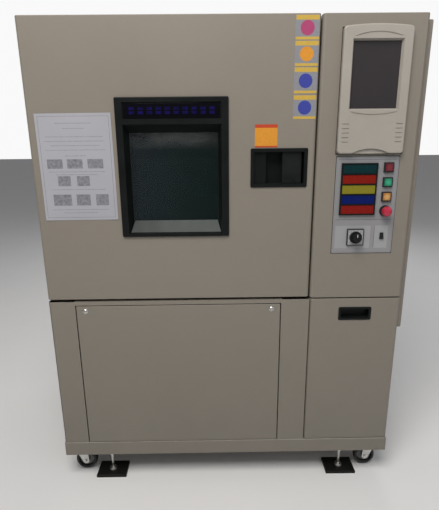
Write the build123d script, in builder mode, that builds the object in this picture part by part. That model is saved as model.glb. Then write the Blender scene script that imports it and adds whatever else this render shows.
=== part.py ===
from build123d import *
import os
from math import cos, degrees, radians, sin, sqrt

# Upright temperature and humidity test chamber, in millimetres.
# +Z is up, the front faces -Y, and the origin is on the floor under the middle of the whole machine.

os.makedirs("parts", exist_ok=True)

# Cabinet
cabinet_width = 1090
cabinet_height = 1350
cabinet_depth = 980
ground_clearance = 100
sheet = 1.5
front_bend = 9
side_stand_out = 20
rear_stand_out = 32

# Front split
column_width = 283
door_gap = 4.5
lower_height = 554
seam = 8
column_seam = 4
rail_height = 48
rail_proud = 2

# Door and test space
door_thickness = 80
seal_gap = 10
test_width = 600
test_height = 580
test_depth = 500
duct_depth = 130
rear_board = 100
liner = 1.2
seal_clearance = 0.3
plug_depth = 22
plug_clearance = 10
gasket_width = 22
pan_lip = 2

# Hinges and catch
pivot_inset = 12
knuckle_radius = 10.5
hinge_pin_radius = 6
running = 0.05
knuckle_height = 50
hinge_from_end = 120
bush_height = 12

# Door window
window_width = 313
window_height = 389
window_drop = 3.5
window_proud = 6
window_flange = 3
side_rim = 20
bottom_rim = 9
bezel_opening_height = 308
glass_width = 254
glass_height = 280
bezel_depth = 30
glass_foot = 7
display_height = 44.5
display_width = 273
display_from_top = 13.5
pane = 4
pane_pitch = 16
window_wall = 3

# Door handle
handle_width = 162
handle_height = 109
handle_from_edge = 21
handle_above_centre = 2.5
handle_proud = 3
handle_depth = 34
handle_wall = 2.5
paddle_width = 54
paddle_thickness = 7
paddle_pin = 3
bolt_size = 12
bolt_reach = 2.5

# Operator panel and controls
controls_offset = 5
hmi_width = 185
hmi_height = 331
hmi_from_top = 28
hmi_proud = 14
hmi_crown = 6
screen_width = 128
screen_height = 171
screen_below_top = 40
screen_depth = 9
plate_width = 179
plate_height = 282
plate_gap = 8
plate_thickness = 3
plate_proud = 1.5
signal_width = 103.5
signal_height = 149
signal_proud = 7
signal_left = 15
signal_top = 18
lens_count = 5
lens_border = 4
button_size = 22
button_collar = 28
button_proud = 8
button_travel = 3
button_from_right = 29
button_pitch = 41.6
first_button_below_top = 31
stop_radius = 15
stop_proud = 26
stop_travel = 5
dial_plate_size = 50
dial_left = 68
dial_above_bottom = 48.5
knob_radius = 18
knob_proud = 20
rocker_width = 12
rocker_height = 20
rocker_from_right = 32
rocker_pin = 1.5
control_clearance = 0.3

# Service panel and tank drawer
panel_left = 81
panel_right = 88
panel_below_top = 12
panel_gap = 3
panel_depth = 18
screw_inset = 30
screw_radius = 6
drawer_thickness = 22
drawer_gap = 3
pull_width = 102
pull_height = 43
pull_below_top = 28
pull_depth = 20
tank_width = 190
tank_length = 330
tank_height = 300

# Feet
pad_width = 102
pad_depth = 70
pad_thickness = 10
foot_inset = 145
foot_setback = 39
bolt_radius = 5
wheel_radius = 37.5
wheel_width = 24
wheel_lift = 2
caster_inset = 34
caster_setback = 58
caster_trail = 16
kingpin_radius = 6
axle_radius = 4

# Refrigeration and air circulation
compressor_offset = 274
fan_radius = 95
fan_width = 58
blade_count = 24
shaft_radius = 6
motor_radius = 58
motor_length = 120

# Places that follow from the sizes
left = -cabinet_width / 2
right = cabinet_width / 2
base = ground_clearance
top = base + cabinet_height
front_stand_out = max(plate_proud + stop_proud, hmi_proud, plate_proud + knob_proud + 5, window_proud)
front = (front_stand_out - cabinet_depth - rear_stand_out) / 2
back = front + cabinet_depth
shell_front = front + door_thickness + seal_gap
door_back = front + door_thickness
column_left = right - column_width
door_right = column_left - door_gap
lower_top = base + lower_height
door_bottom = lower_top + seam
column_bottom = lower_top + column_seam
rail_top = base + rail_height
door_centre = (left + door_right) / 2
door_middle = (door_bottom + top) / 2
test_left = door_centre - test_width / 2
test_right = door_centre + test_width / 2
test_bottom = door_middle - test_height / 2
test_top = door_middle + test_height / 2
baffle_front = shell_front + test_depth
liner_back = baffle_front + duct_depth
rear_board_back = liner_back + liner + rear_board
partition = column_left - sheet


def facing(y):
    """A sketch plane at depth y, seen from the front: local x is +X and local y is +Z."""
    return Plane(origin=(0, y, 0), x_dir=(1, 0, 0), z_dir=(0, -1, 0))


def plan(z):
    """A sketch plane at height z, seen from above."""
    return Plane.XY.offset(z)


def block(x, y, z, mode=Mode.ADD):
    """A box between two corners, with each span given as (low, high)."""
    with Locations(((x[0] + x[1]) / 2, (y[0] + y[1]) / 2, (z[0] + z[1]) / 2)):
        Box(x[1] - x[0], y[1] - y[0], z[1] - z[0], mode=mode)


def rod(start, end, radius, mode=Mode.ADD):
    """A round bar between two points."""
    axis = Vector(*end) - Vector(*start)
    with BuildSketch(Plane(origin=start, z_dir=axis)) as section:
        Circle(radius)
    extrude(section.sketch, amount=axis.length, mode=mode)


def grow(span, amount):
    """A span made longer by the same amount at both ends."""
    return (span[0] - amount, span[1] + amount)


def about(centre, size):
    """The span of a size about its centre."""
    return (centre - size / 2, centre + size / 2)


def dome(radius, reach):
    """How far a dome of this radius has fallen at a reach from its axis."""
    return radius - sqrt(radius ** 2 - reach ** 2)


def finish(piece, name):
    """Label a finished piece and write its file."""
    piece.part.label = name
    export_step(piece.part, f"parts/{name}.step")


# Base frame: folded channels, the rigid rear casters' forks, the tank drawer's rails and the posts.
channel = 2.5
post = 30
frame_left = left + sheet
frame_right = right - sheet
rail_back = front + 38
rear_rail = (back - sheet - 38, back - sheet)
bay_left = column_left + 6
bay_right = frame_right - post - 4
rear_caster_y = back - caster_setback
rear_caster_x = [left + caster_inset + caster_trail, right - caster_inset - caster_trail]
front_caster_x = [left + caster_inset, right - caster_inset]
front_caster_y = front + caster_setback
foot_x = [left + foot_inset, right - foot_inset]
foot_y = [front + foot_setback, back - foot_setback]
axle_z = wheel_lift + wheel_radius
cheek = 2.5
fork_span = wheel_width + 6
runner_z = rail_top + 14
runner_length = 330
with BuildPart() as base_frame:
    block((left, right), (front - rail_proud, rail_back), (base, rail_top))
    block((left + channel, right - channel), (front - rail_proud + channel, rail_back),
          (base + channel, rail_top - channel), Mode.SUBTRACT)
    for side_x in [(frame_left, frame_left + 38), (frame_right - 38, frame_right)]:
        block(side_x, (rail_back, rear_rail[0]), (base, base + channel))
        web = (side_x[0], side_x[0] + channel) if side_x[0] < 0 else (side_x[1] - channel, side_x[1])
        block(web, (rail_back, rear_rail[0]), (base, rail_top))
    block((frame_left, frame_right), rear_rail, (base, base + channel))
    block((frame_left, frame_right), (rear_rail[1] - channel, rear_rail[1]), (base, rail_top))
    # Floor pan that ties the rails together and carries the refrigeration set
    block((frame_left, frame_right), (rail_back - channel, rear_rail[0] + channel), (base, base + channel))
    # Hat rails under the compressor and condenser
    for rail_y in [back - 470, back - 330]:
        block((frame_left + channel, partition - 20), about(rail_y, 40), (base + channel, base + channel + 25))
    # Posts up to the machine deck
    for post_x in [(frame_left, frame_left + post), (partition - post, partition), (frame_right - post, frame_right)]:
        for post_y in [(shell_front + sheet, shell_front + sheet + post), (rear_rail[0], rear_rail[0] + post)]:
            block(post_x, post_y, (base + channel, lower_top - sheet))
            inner_x = grow(post_x, -channel)
            inner_y = grow(post_y, -channel)
            block(inner_x, inner_y, (base + channel, lower_top - sheet), Mode.SUBTRACT)
    # Tank drawer's rails on webs from the floor pan
    runner_y = (rail_back, rail_back + runner_length)
    for rail_x in [(bay_left, bay_left + 14), (bay_right - 14, bay_right)]:
        block(rail_x, runner_y, (runner_z - 2, runner_z))
        web = (rail_x[0], rail_x[0] + 2) if rail_x[0] == bay_left else (rail_x[1] - 2, rail_x[1])
        block(web, runner_y, (base, runner_z))
    # Forks of the two rigid rear casters
    for x in rear_caster_x:
        block(about(x, 56), about(rear_caster_y, 60), (base - 3, base))
        for side in (-1, 1):
            inner = x + side * fork_span / 2
            with BuildSketch(Plane(origin=(inner + side * cheek, 0, 0), x_dir=(0, 1, 0),
                                   z_dir=(1, 0, 0))):
                with BuildLine():
                    Polyline((rear_caster_y - 24, base - 3), (rear_caster_y + 24, base - 3),
                             (rear_caster_y + 11, axle_z))
                    ThreePointArc((rear_caster_y + 11, axle_z), (rear_caster_y, axle_z - 11),
                                  (rear_caster_y - 11, axle_z))
                    Line((rear_caster_y - 11, axle_z), (rear_caster_y - 24, base - 3))
                make_face()
            extrude(amount=-side * cheek)
        rod((x - fork_span / 2 - cheek - 4, rear_caster_y, axle_z),
            (x + fork_span / 2 + cheek + 4, rear_caster_y, axle_z), axle_radius)
    # Swivel seats of the front casters and threaded seats of the levelling bolts
    for x in front_caster_x:
        block(about(x, 60), about(front_caster_y, 60), (base - 3, base))
        rod((x, front_caster_y, base - 3), (x, front_caster_y, base + channel), kingpin_radius + running,
            Mode.SUBTRACT)
    for x in foot_x:
        for y in foot_y:
            rod((x, y, base - 8), (x, y, base), 14)
finish(base_frame, "base_frame")


# Side panels: L-shaped sheets with a front lip, behind the overlaid fronts.
lip = 25
drawer_back = front + drawer_thickness + drawer_gap
with BuildPart() as left_side_panel:
    with BuildSketch(Plane(origin=(left, 0, 0), x_dir=(0, 1, 0), z_dir=(1, 0, 0))):
        with BuildLine():
            Polyline((shell_front, top - sheet), (back, top - sheet), (back, base), (rail_back, base),
                     (rail_back, rail_top), (shell_front, rail_top), close=True)
        make_face()
    extrude(amount=sheet)
    block((left, left + lip), (shell_front, shell_front + sheet), (lower_top, top - sheet))
    # Cable port through the wall
    port_radius = 25
    port_wall = 2
    port_y = shell_front + test_depth / 2
    port_z = door_middle
    rod((left, port_y, port_z), (left + sheet, port_y, port_z), port_radius + port_wall, Mode.SUBTRACT)
finish(left_side_panel, "left_side_panel")

cover_front = front + 21
cover_bottom = base + lower_height - 106
service_opening_y = (shell_front + 60, back - 90)
service_opening_z = (cover_bottom + 60, top - 70)
with BuildPart() as right_side_panel:
    with BuildSketch(Plane(origin=(right, 0, 0), x_dir=(0, 1, 0), z_dir=(1, 0, 0))):
        with BuildLine():
            Polyline((shell_front, top - sheet), (back, top - sheet), (back, base), (rail_back, base),
                     (rail_back, rail_top), (drawer_back, rail_top), (drawer_back, column_bottom),
                     (shell_front, column_bottom), close=True)
        make_face()
        with Locations((sum(service_opening_y) / 2, sum(service_opening_z) / 2)):
            RectangleRounded(service_opening_y[1] - service_opening_y[0],
                             service_opening_z[1] - service_opening_z[0], 20, mode=Mode.SUBTRACT)
    extrude(amount=-sheet)
finish(right_side_panel, "right_side_panel")

# Raised cover of the electrical compartment: a pan with rounded corners and pressed air slots.
cover_back = back - 25
cover_top = top - 12
slot_length = 130
with BuildPart() as right_side_cover:
    block((right, right + side_stand_out), (cover_front, cover_back), (cover_bottom, cover_top))
    fillet(right_side_cover.faces().sort_by(Axis.X)[-1].edges(), 6)
    offset(amount=-sheet, openings=right_side_cover.faces().sort_by(Axis.X)[0])
    with BuildSketch(Plane(origin=(right + side_stand_out, 0, 0), x_dir=(0, 1, 0), z_dir=(1, 0, 0))):
        for row_z in (cover_bottom + 150, cover_top - 190):
            for column in range(3):
                with Locations((shell_front + 220 + column * 190, row_z)):
                    with GridLocations(1, 18, 1, 7):
                        SlotOverall(slot_length, 7)
    extrude(amount=-3, mode=Mode.SUBTRACT)
finish(right_side_cover, "right_side_cover")

# Top panel: a lid with a turned-down front lip.
with BuildPart() as top_panel:
    block((left, right), (shell_front, back), (top - sheet, top))
    block((left + lip, partition), (shell_front, shell_front + sheet), (top - lip, top - sheet))
finish(top_panel, "top_panel")

# Back panel: condenser grille, motor vent and louvre rows.
inside_left = left + sheet
inside_right = right - sheet
fan_z = test_top - 145
condenser_x = door_centre - 60
condenser_z = base + 270
condenser_fan_radius = 120
vent_slot = 12
drain_x = left + 150
drain_z = base + 90
drain_radius = 10
rear_services = ((drain_x, drain_z, drain_radius, 20), (drain_x + 70, drain_z, 8, 18),
                 (right - 120, base + 120, 16, 24))
with BuildPart() as back_panel:
    block((inside_left, inside_right), (back - sheet, back), (base, top - sheet))
    with BuildSketch(facing(back)):
        for centre, reach in (((condenser_x, condenser_z), condenser_fan_radius), ((door_centre, fan_z), 75)):
            with Locations(centre):
                for ring in (0.38, 0.64, 0.9):
                    web = degrees((vent_slot + 10) / (reach * ring)) / 2
                    for turn in range(4):
                        start = 90 * turn + web
                        SlotArc(Edge.make_circle(reach * ring, start_angle=start,
                                                 end_angle=start + 90 - 2 * web), vent_slot)
        with Locations((right - 150, lower_top + 90), (right - 150, top - 130)):
            with GridLocations(1, 20, 1, 5):
                SlotOverall(150, 8)
    extrude(amount=sheet, mode=Mode.SUBTRACT)
    for x, z, radius, flange in rear_services:
        rod((x, back - sheet, z), (x, back, z), radius, Mode.SUBTRACT)
finish(back_panel, "back_panel")

# Machine deck: one folded sheet, with the upstand that parts the test space from the column.
with BuildPart() as machine_deck:
    block((inside_left, inside_right), (shell_front + sheet, back - sheet), (lower_top - sheet, lower_top))
    block((partition, partition + sheet), (shell_front + sheet, back - sheet), (lower_top, top - sheet))
    with BuildSketch(plan(lower_top)):
        with Locations((column_left + 140, back - 150)):
            RectangleRounded(120, 80, 15)
    extrude(amount=-sheet, mode=Mode.SUBTRACT)
finish(machine_deck, "machine_deck")

# Inner liner: a seamed stainless tub with rounded corners and a wide front flange.
liner_x = (test_left - liner, test_right + liner)
liner_z = (test_bottom - liner, test_top + liner)
flange_back = shell_front + sheet
with BuildPart() as inner_liner:
    block(liner_x, (flange_back, liner_back + liner), liner_z)
    fillet(inner_liner.edges().filter_by(Axis.Y), 14)
    block((inside_left + lip, partition), (shell_front, flange_back), (lower_top + 1, top - lip))
    with BuildSketch(facing(shell_front)):
        with Locations((door_centre, door_middle)):
            RectangleRounded(test_width, test_height, 14 - liner)
    extrude(amount=-(liner_back - shell_front), mode=Mode.SUBTRACT)
    rod((door_centre, liner_back - 1, fan_z), (door_centre, liner_back + liner, fan_z), shaft_radius + 3,
        Mode.SUBTRACT)
    rod((liner_x[0], port_y, port_z), (test_left + 1, port_y, port_z), port_radius + port_wall,
        Mode.SUBTRACT)
finish(inner_liner, "inner_liner")

# Insulation: five rigid foam boards around the liner.
foam_y = (flange_back, rear_board_back)
board_joint = 0.2
with BuildPart() as chamber_insulation:
    block((inside_left, liner_x[0]), foam_y, (lower_top, top - sheet))
    block((liner_x[1], partition), foam_y, (lower_top, top - sheet))
    between = grow(liner_x, -board_joint)
    block(between, foam_y, (liner_z[1], top - sheet))
    block(between, foam_y, (lower_top, liner_z[0]))
    block(between, (liner_back + liner, rear_board_back), grow(liner_z, -board_joint))
    rod((inside_left, port_y, port_z), (liner_x[0], port_y, port_z), port_radius + port_wall, Mode.SUBTRACT)
    rod((door_centre, liner_back, fan_z), (door_centre, rear_board_back, fan_z), shaft_radius + 3,
        Mode.SUBTRACT)
finish(chamber_insulation, "chamber_insulation")


# Air duct baffle: supply slots above, return slots below and a round inlet of radial slots.
with BuildPart() as air_baffle:
    with BuildSketch(facing(baffle_front)):
        with Locations((door_centre, door_middle)):
            RectangleRounded(test_width - 1, test_height - 1, 14)
        with Locations((door_centre, test_top - 34)):
            with GridLocations(52, 18, 10, 2):
                SlotOverall(42, 8, mode=Mode.SUBTRACT)
        with Locations((door_centre, test_bottom + 40)):
            with GridLocations(52, 18, 10, 3):
                SlotOverall(42, 8, mode=Mode.SUBTRACT)
        with Locations((door_centre, fan_z)):
            with PolarLocations(fan_radius * 0.62, 16):
                SlotOverall(48, 9, mode=Mode.SUBTRACT)
    extrude(amount=-liner)
finish(air_baffle, "air_baffle")

# Circulation fan: a forward-curved blower wheel on a long shaft that runs out through the rear board.
fan_front = baffle_front + liner + 14
fan_back = fan_front + fan_width
blade_inner = fan_radius * 0.8
with BuildPart() as circulation_fan:
    with BuildSketch(facing(fan_front)):
        with Locations((door_centre, fan_z)):
            Circle(fan_radius)
            Circle(blade_inner, mode=Mode.SUBTRACT)
    extrude(amount=-2)
    with BuildSketch(facing(fan_back - 2)):
        with Locations((door_centre, fan_z)):
            Circle(fan_radius)
    extrude(amount=-2)
    with BuildSketch(facing(fan_front + 1)):
        for blade in range(blade_count):
            turn = 360 * blade / blade_count
            root = Vector(blade_inner + 1, 0).rotate(Axis.Z, turn)
            belly = Vector((blade_inner + fan_radius) / 2, -4).rotate(Axis.Z, turn)
            tip = Vector(fan_radius - 1, 3).rotate(Axis.Z, turn)
            with Locations((door_centre, fan_z)):
                SlotArc(Edge.make_three_point_arc(root, belly, tip), 1.6)
    extrude(amount=-(fan_width - 2))
    rod((door_centre, fan_back - 24, fan_z), (door_centre, fan_back, fan_z), 17)
    rod((door_centre, fan_back - 24, fan_z), (door_centre, rear_board_back + 40, fan_z), shaft_radius)
finish(circulation_fan, "circulation_fan")

# Circulation motor: flange, finned can and rear cap, bolted to the back of the rear board.
with BuildPart() as circulation_motor:
    with BuildSketch(Plane(origin=(door_centre, 0, fan_z), x_dir=(0, 1, 0), z_dir=(-1, 0, 0))):
        with BuildLine():
            start = rear_board_back
            Polyline((start, 0), (start, motor_radius + 14), (start + 6, motor_radius + 14),
                     (start + 6, motor_radius), (start + motor_length - 20, motor_radius),
                     (start + motor_length, motor_radius - 14), (start + motor_length, 0), close=True)
        make_face()
    revolve(axis=Axis((door_centre, 0, fan_z), (0, 1, 0)))
    with BuildSketch(facing(start + 16)):
        with Locations((door_centre, fan_z)):
            with PolarLocations(motor_radius + 1, 16):
                Rectangle(10, 2.5)
    extrude(amount=-(motor_length - 46))
    rod((door_centre, start, fan_z), (door_centre, start + 48, fan_z), shaft_radius + running, Mode.SUBTRACT)
finish(circulation_motor, "circulation_motor")

# Evaporator: a fin block on hairpin tubes, low in the duct.
coil_z = (test_bottom + 70, test_bottom + 190)
coil_y = (baffle_front + liner + 25, liner_back - 25)
coil_x = (test_left + 60, test_right - 60)
fin_pitch = 20
with BuildPart() as evaporator:
    fins = int((coil_x[1] - coil_x[0]) / fin_pitch)
    with Locations(((coil_x[0] + coil_x[1]) / 2, (coil_y[0] + coil_y[1]) / 2, (coil_z[0] + coil_z[1]) / 2)):
        with GridLocations(fin_pitch, 1, fins, 1):
            Box(1.2, coil_y[1] - coil_y[0], coil_z[1] - coil_z[0])
    for tube_y in (coil_y[0] + 20, coil_y[1] - 20):
        for tube_z in (coil_z[0] + 30, coil_z[1] - 30):
            rod((test_left, tube_y, tube_z), (test_right, tube_y, tube_z), 6)
finish(evaporator, "evaporator")

# Heater: a bare tubular element bent into a long hairpin above the evaporator.
heater_z = coil_z[1] + 40
heater_y = (baffle_front + liner + liner_back) / 2
with BuildPart() as heater_coil:
    with BuildLine():
        FilletPolyline((test_left, heater_y - 18, heater_z), (test_right - 30, heater_y - 18, heater_z),
                       (test_right - 30, heater_y + 18, heater_z), (test_left, heater_y + 18, heater_z),
                       radius=17)
    with BuildSketch(Plane(origin=(test_left, heater_y - 18, heater_z), z_dir=(1, 0, 0))):
        Circle(4)
    sweep()
finish(heater_coil, "heater_coil")

# Steam humidifier: an open water pan with an immersion element on the duct floor.
pan_x = (door_centre - 150, door_centre + 150)
pan_y = (baffle_front + liner + 20, liner_back - 20)
with BuildPart() as steam_humidifier:
    block(pan_x, pan_y, (test_bottom, test_bottom + 40))
    fillet(steam_humidifier.edges().filter_by(Axis.Z), 12)
    offset(amount=-1.2, openings=steam_humidifier.faces().sort_by(Axis.Z)[-1])
    for side in (-1, 1):
        rod((pan_x[0] + 0.5, heater_y + side * 18, test_bottom + 20),
            (pan_x[1] - 0.5, heater_y + side * 18, test_bottom + 20), 4)
finish(steam_humidifier, "steam_humidifier")

# Dry-bulb and wet-bulb probes: two sheaths on a small angle bracket on the baffle.
probe_x = test_right - 90
probe_z = test_top - 120
with BuildPart() as sensor_probes:
    block((probe_x - 34, probe_x + 34), (baffle_front - 2, baffle_front), (probe_z - 14, probe_z + 14))
    for side in (-1, 1):
        rod((probe_x + side * 20, baffle_front - 2, probe_z), (probe_x + side * 20, baffle_front - 14, probe_z), 6)
        rod((probe_x + side * 20, baffle_front - 14, probe_z), (probe_x + side * 20, baffle_front - 95, probe_z), 3)
finish(sensor_probes, "sensor_probes")

# Shelf uprights: slotted strips on the side walls with pressed-in lugs under each shelf.
upright_y = [shell_front + 90, baffle_front - 90]
shelf_z = [test_bottom + 190, test_bottom + 380]
lug = 9
wire = 3
with BuildPart() as shelf_uprights:
    for side in (-1, 1):
        wall = door_centre + side * test_width / 2
        strip = tuple(sorted((wall, wall - side * 2)))
        lug_x = tuple(sorted((wall, wall - side * lug)))
        for y in upright_y:
            block(strip, about(y, 22), (test_bottom + 30, test_top - 30))
            with Locations(Plane(origin=(wall, y, door_middle), x_dir=(0, 0, 1), z_dir=(side, 0, 0))):
                with GridLocations(38, 1, 13, 1):
                    Box(14, 5, 12, mode=Mode.SUBTRACT)
            for z in shelf_z:
                block(lug_x, about(y, 16), (z - 4, z))
finish(shelf_uprights, "shelf_uprights")

# Wire shelves: a rim of round bar, two cross bars and a row of wires.
shelf_clear = 2 + wire + 1
shelf_x = (test_left + shelf_clear, test_right - shelf_clear)
shelf_y = (shell_front + plug_depth + 20, baffle_front - 12)
wire_pitch = 34
with BuildPart() as wire_shelves:
    for z in shelf_z:
        height = z + wire
        for y in shelf_y:
            rod((shelf_x[0], y, height), (shelf_x[1], y, height), wire)
        for x in shelf_x:
            rod((x, shelf_y[0], height), (x, shelf_y[1], height), wire)
        wires = int((shelf_x[1] - shelf_x[0]) / wire_pitch)
        for number in range(1, wires):
            x = shelf_x[0] + number * (shelf_x[1] - shelf_x[0]) / wires
            rod((x, shelf_y[0], height), (x, shelf_y[1], height), wire * 0.7)
finish(wire_shelves, "wire_shelves")

# Cable port: a flanged stainless sleeve through the left wall.
port_flange = 12
with BuildPart() as cable_port_sleeve:
    rod((left - side_stand_out, port_y, port_z), (test_left, port_y, port_z), port_radius + port_wall)
    rod((left - side_stand_out, port_y, port_z), (left, port_y, port_z), port_radius + port_flange)
    chamfer(cable_port_sleeve.faces().sort_by(Axis.X)[0].edges(), 4)
    rod((left - side_stand_out - 1, port_y, port_z), (test_left + 1, port_y, port_z), port_radius,
        Mode.SUBTRACT)
finish(cable_port_sleeve, "cable_port_sleeve")


# Hinges: two corner pivots, each a plate on the cabinet face with an arm, a knuckle and a fixed pin.
pivot_x = left + pivot_inset
pivot_y = door_back - pivot_inset
notch = 2 * pivot_inset + 1
hinge_z = [door_bottom + hinge_from_end, top - hinge_from_end]
notch_height = knuckle_height + 0.6
with BuildPart() as hinge_brackets:
    for z in hinge_z:
        span = about(z, knuckle_height)
        rod((pivot_x, pivot_y, span[0]), (pivot_x, pivot_y, span[1]), knuckle_radius)
        block(about(pivot_x, 12), (pivot_y, shell_front), span)
        block((pivot_x - 6, pivot_x + 46), (shell_front - 4, shell_front), span)
        rod((pivot_x, pivot_y, z - knuckle_height / 2 - bush_height),
            (pivot_x, pivot_y, z + knuckle_height / 2 + bush_height), hinge_pin_radius)
finish(hinge_brackets, "hinge_brackets")

# Door skin: a folded pan with bent edges, cut for the window, the handle, the hinges and the bolt.
window_x = door_centre
window_z = door_middle - window_drop
handle_x = door_right - handle_from_edge - handle_width / 2
handle_z = door_middle - handle_above_centre
bolt_y = front + door_thickness / 2
throat = 6
hole_width = window_width - 2 * throat
hole_height = window_height - 2 * throat
skin_back = door_back - pan_lip
with BuildPart() as door_skin:
    block((left, door_right), (front, door_back), (door_bottom, top))
    fillet(door_skin.faces().sort_by(Axis.Y)[0].edges().filter_by(Axis.Z), front_bend)
    fillet(door_skin.faces().sort_by(Axis.Y)[0].edges().filter_by(Axis.X), 2)
    offset(amount=-sheet, openings=door_skin.faces().sort_by(Axis.Y)[-1])
    with BuildSketch(facing(front)):
        with Locations((window_x, window_z)):
            Rectangle(hole_width, hole_height)
        with Locations((handle_x, handle_z)):
            Rectangle(handle_width - 8, handle_height - 8)
    extrude(amount=-sheet, mode=Mode.SUBTRACT)
    for z in hinge_z:
        cup = notch_height / 2 + bush_height
        block((left + sheet, left + notch + 2), (door_back - notch - 2, skin_back), (z - cup, z + cup))
        block((left, left + notch), (door_back - notch, door_back), about(z, notch_height), Mode.SUBTRACT)
        rod((pivot_x, pivot_y, z - cup), (pivot_x, pivot_y, z + cup), hinge_pin_radius + running,
            Mode.SUBTRACT)
    block((door_right - sheet, door_right), about(bolt_y, bolt_size + 1), about(handle_z, bolt_size + 1),
          Mode.SUBTRACT)
finish(door_skin, "door_skin")

# Door handle tray: a black moulded cup, with a finger recess and a seat for the paddle.
tray_back = front + handle_depth
cavity_x = (handle_x - handle_width / 2 + 10, handle_x + handle_width / 2 - 10)
cavity_z = about(handle_z, handle_height - 20)
with BuildPart() as handle_tray:
    with BuildSketch(facing(front)):
        with Locations((handle_x, handle_z)):
            RectangleRounded(handle_width, handle_height, 4)
    extrude(amount=handle_proud)
    fillet(handle_tray.faces().sort_by(Axis.Y)[0].edges(), 1.2)
    block(grow(cavity_x, handle_wall), (front, tray_back), grow(cavity_z, handle_wall))
    block(cavity_x, (front - handle_proud, tray_back - handle_wall), cavity_z, Mode.SUBTRACT)
    # Raised shelf to the left of the finger recess
    block((cavity_x[0], cavity_x[0] + 34), (front + 5, tray_back), cavity_z)
    # Ears that hold the paddle's pin
    ear_x = cavity_x[1] - 8
    ear_y = front + 9
    rod((ear_x, ear_y, cavity_z[0] - 1), (ear_x, ear_y, cavity_z[1] + 1), paddle_pin + running, Mode.SUBTRACT)
    block((cavity_x[1] - 1, cavity_x[1] + handle_wall), about(ear_y + 12, 6), about(handle_z, 6), Mode.SUBTRACT)
finish(handle_tray, "handle_tray")

# Paddle: turns on a vertical pin at its right edge, and its left edge is pulled outward.
paddle_left = ear_x - paddle_width
with BuildPart() as handle_paddle:
    with BuildSketch(plan(cavity_z[0] + 1)):
        with BuildLine():
            Line((ear_x, front + 9 - paddle_thickness / 2), (paddle_left + 4, front + 2))
            ThreePointArc((paddle_left + 4, front + 2), (paddle_left, front + 6), (paddle_left + 3, front + 10))
            Line((paddle_left + 3, front + 10), (ear_x, ear_y + paddle_thickness / 2))
            ThreePointArc((ear_x, ear_y + paddle_thickness / 2), (ear_x + paddle_thickness / 2, ear_y),
                          (ear_x, ear_y - paddle_thickness / 2))
        make_face()
    extrude(amount=cavity_z[1] - cavity_z[0] - 2)
    rod((ear_x, ear_y, cavity_z[0] - 1), (ear_x, ear_y, cavity_z[1] + 1), paddle_pin)
finish(handle_paddle, "handle_paddle")

# Roller bolt: slides in the door edge, and its round nose stands in the gap beside the column.
bolt_start = cavity_x[1] + handle_wall + 1
with BuildPart() as latch_bolt:
    block((bolt_start, door_right - 3), about(bolt_y, bolt_size), about(handle_z, bolt_size))
    nose = door_right + bolt_reach - 5
    rod((nose, bolt_y, handle_z - bolt_size / 2), (nose, bolt_y, handle_z + bolt_size / 2), 5)
finish(latch_bolt, "latch_bolt")

# Window frame: one black moulding, with a display recess above a bevelled, slightly crowned opening.
glass_front = front + bezel_depth
opening_bottom = window_z - window_height / 2 + bottom_rim
opening_middle = opening_bottom + bezel_opening_height / 2
glass_middle = opening_bottom + glass_foot + glass_height / 2
opening_width = window_width - 2 * side_rim
display_top = window_z + window_height / 2 - display_from_top
with BuildPart() as window_frame:
    with BuildSketch(facing(front)):
        with Locations((window_x, window_z)):
            RectangleRounded(window_width, window_height, 4)
    extrude(amount=window_proud)
    fillet(window_frame.faces().sort_by(Axis.Y)[0].edges(), 2.5)
    block(about(window_x, hole_width - 0.6), (front, glass_front), about(window_z, hole_height - 0.6))
    with BuildSketch(facing(front - window_proud)):
        with Locations((window_x, opening_middle)):
            Rectangle(opening_width, bezel_opening_height)
    with BuildSketch(facing(glass_front)):
        with Locations((window_x, glass_middle)):
            Rectangle(glass_width, glass_height)
    loft(mode=Mode.SUBTRACT)
    with BuildSketch(facing(front - window_proud)):
        with Locations((window_x, display_top - display_height / 2)):
            RectangleRounded(display_width, display_height, 2)
    extrude(amount=-3, taper=15, mode=Mode.SUBTRACT)
finish(window_frame, "window_frame")

# Window glass: three panes from the bezel to the inner pan, with dry air between them.
pane_width = glass_width + 16
pane_height = glass_height + 12
with BuildPart() as window_glass:
    for number in range(3):
        start = glass_front + 0.1 + number * pane_pitch
        block(about(window_x, pane_width), (start, start + pane), about(glass_middle, pane_height))
finish(window_glass, "window_glass")

# Inner pan: stainless, with the raised plug that enters the test space and a flanged window opening.
plug_x = grow((test_left, test_right), -plug_clearance)
plug_z = grow((test_bottom, test_top), -plug_clearance)
pan_x = (left + sheet, door_right - sheet)
pan_z = (door_bottom + sheet, top - sheet)
plug_back = shell_front + plug_depth
with BuildPart() as door_inner_pan:
    block(grow(pan_x, -0.2), (skin_back, skin_back + sheet), grow(pan_z, -0.2))
    with BuildSketch(facing(skin_back)):
        with Locations((door_centre, door_middle)):
            RectangleRounded(plug_x[1] - plug_x[0], plug_z[1] - plug_z[0], 12)
    extrude(amount=-(plug_back - skin_back), taper=6)
    fillet(door_inner_pan.faces().sort_by(Axis.Y)[-1].edges(), 5)
    block(about(window_x, glass_width - 6), (skin_back, plug_back), about(glass_middle, glass_height - 6),
          Mode.SUBTRACT)
    with BuildSketch(facing(skin_back)):
        with Locations((door_centre, door_middle)):
            RectangleRounded(plug_x[1] - plug_x[0] - 2 * sheet, plug_z[1] - plug_z[0] - 2 * sheet, 12)
        with Locations((window_x, glass_middle)):
            Rectangle(glass_width - 6 + 2 * sheet, glass_height - 6 + 2 * sheet, mode=Mode.SUBTRACT)
    extrude(amount=-(plug_back - skin_back - sheet), taper=6, mode=Mode.SUBTRACT)
    for z in hinge_z:
        cup = notch_height / 2 + bush_height
        block((left, left + notch + 2.2), (skin_back - 1, door_back + 1), (z - cup - 0.2, z + cup + 0.2),
              Mode.SUBTRACT)
finish(door_inner_pan, "door_inner_pan")

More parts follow.
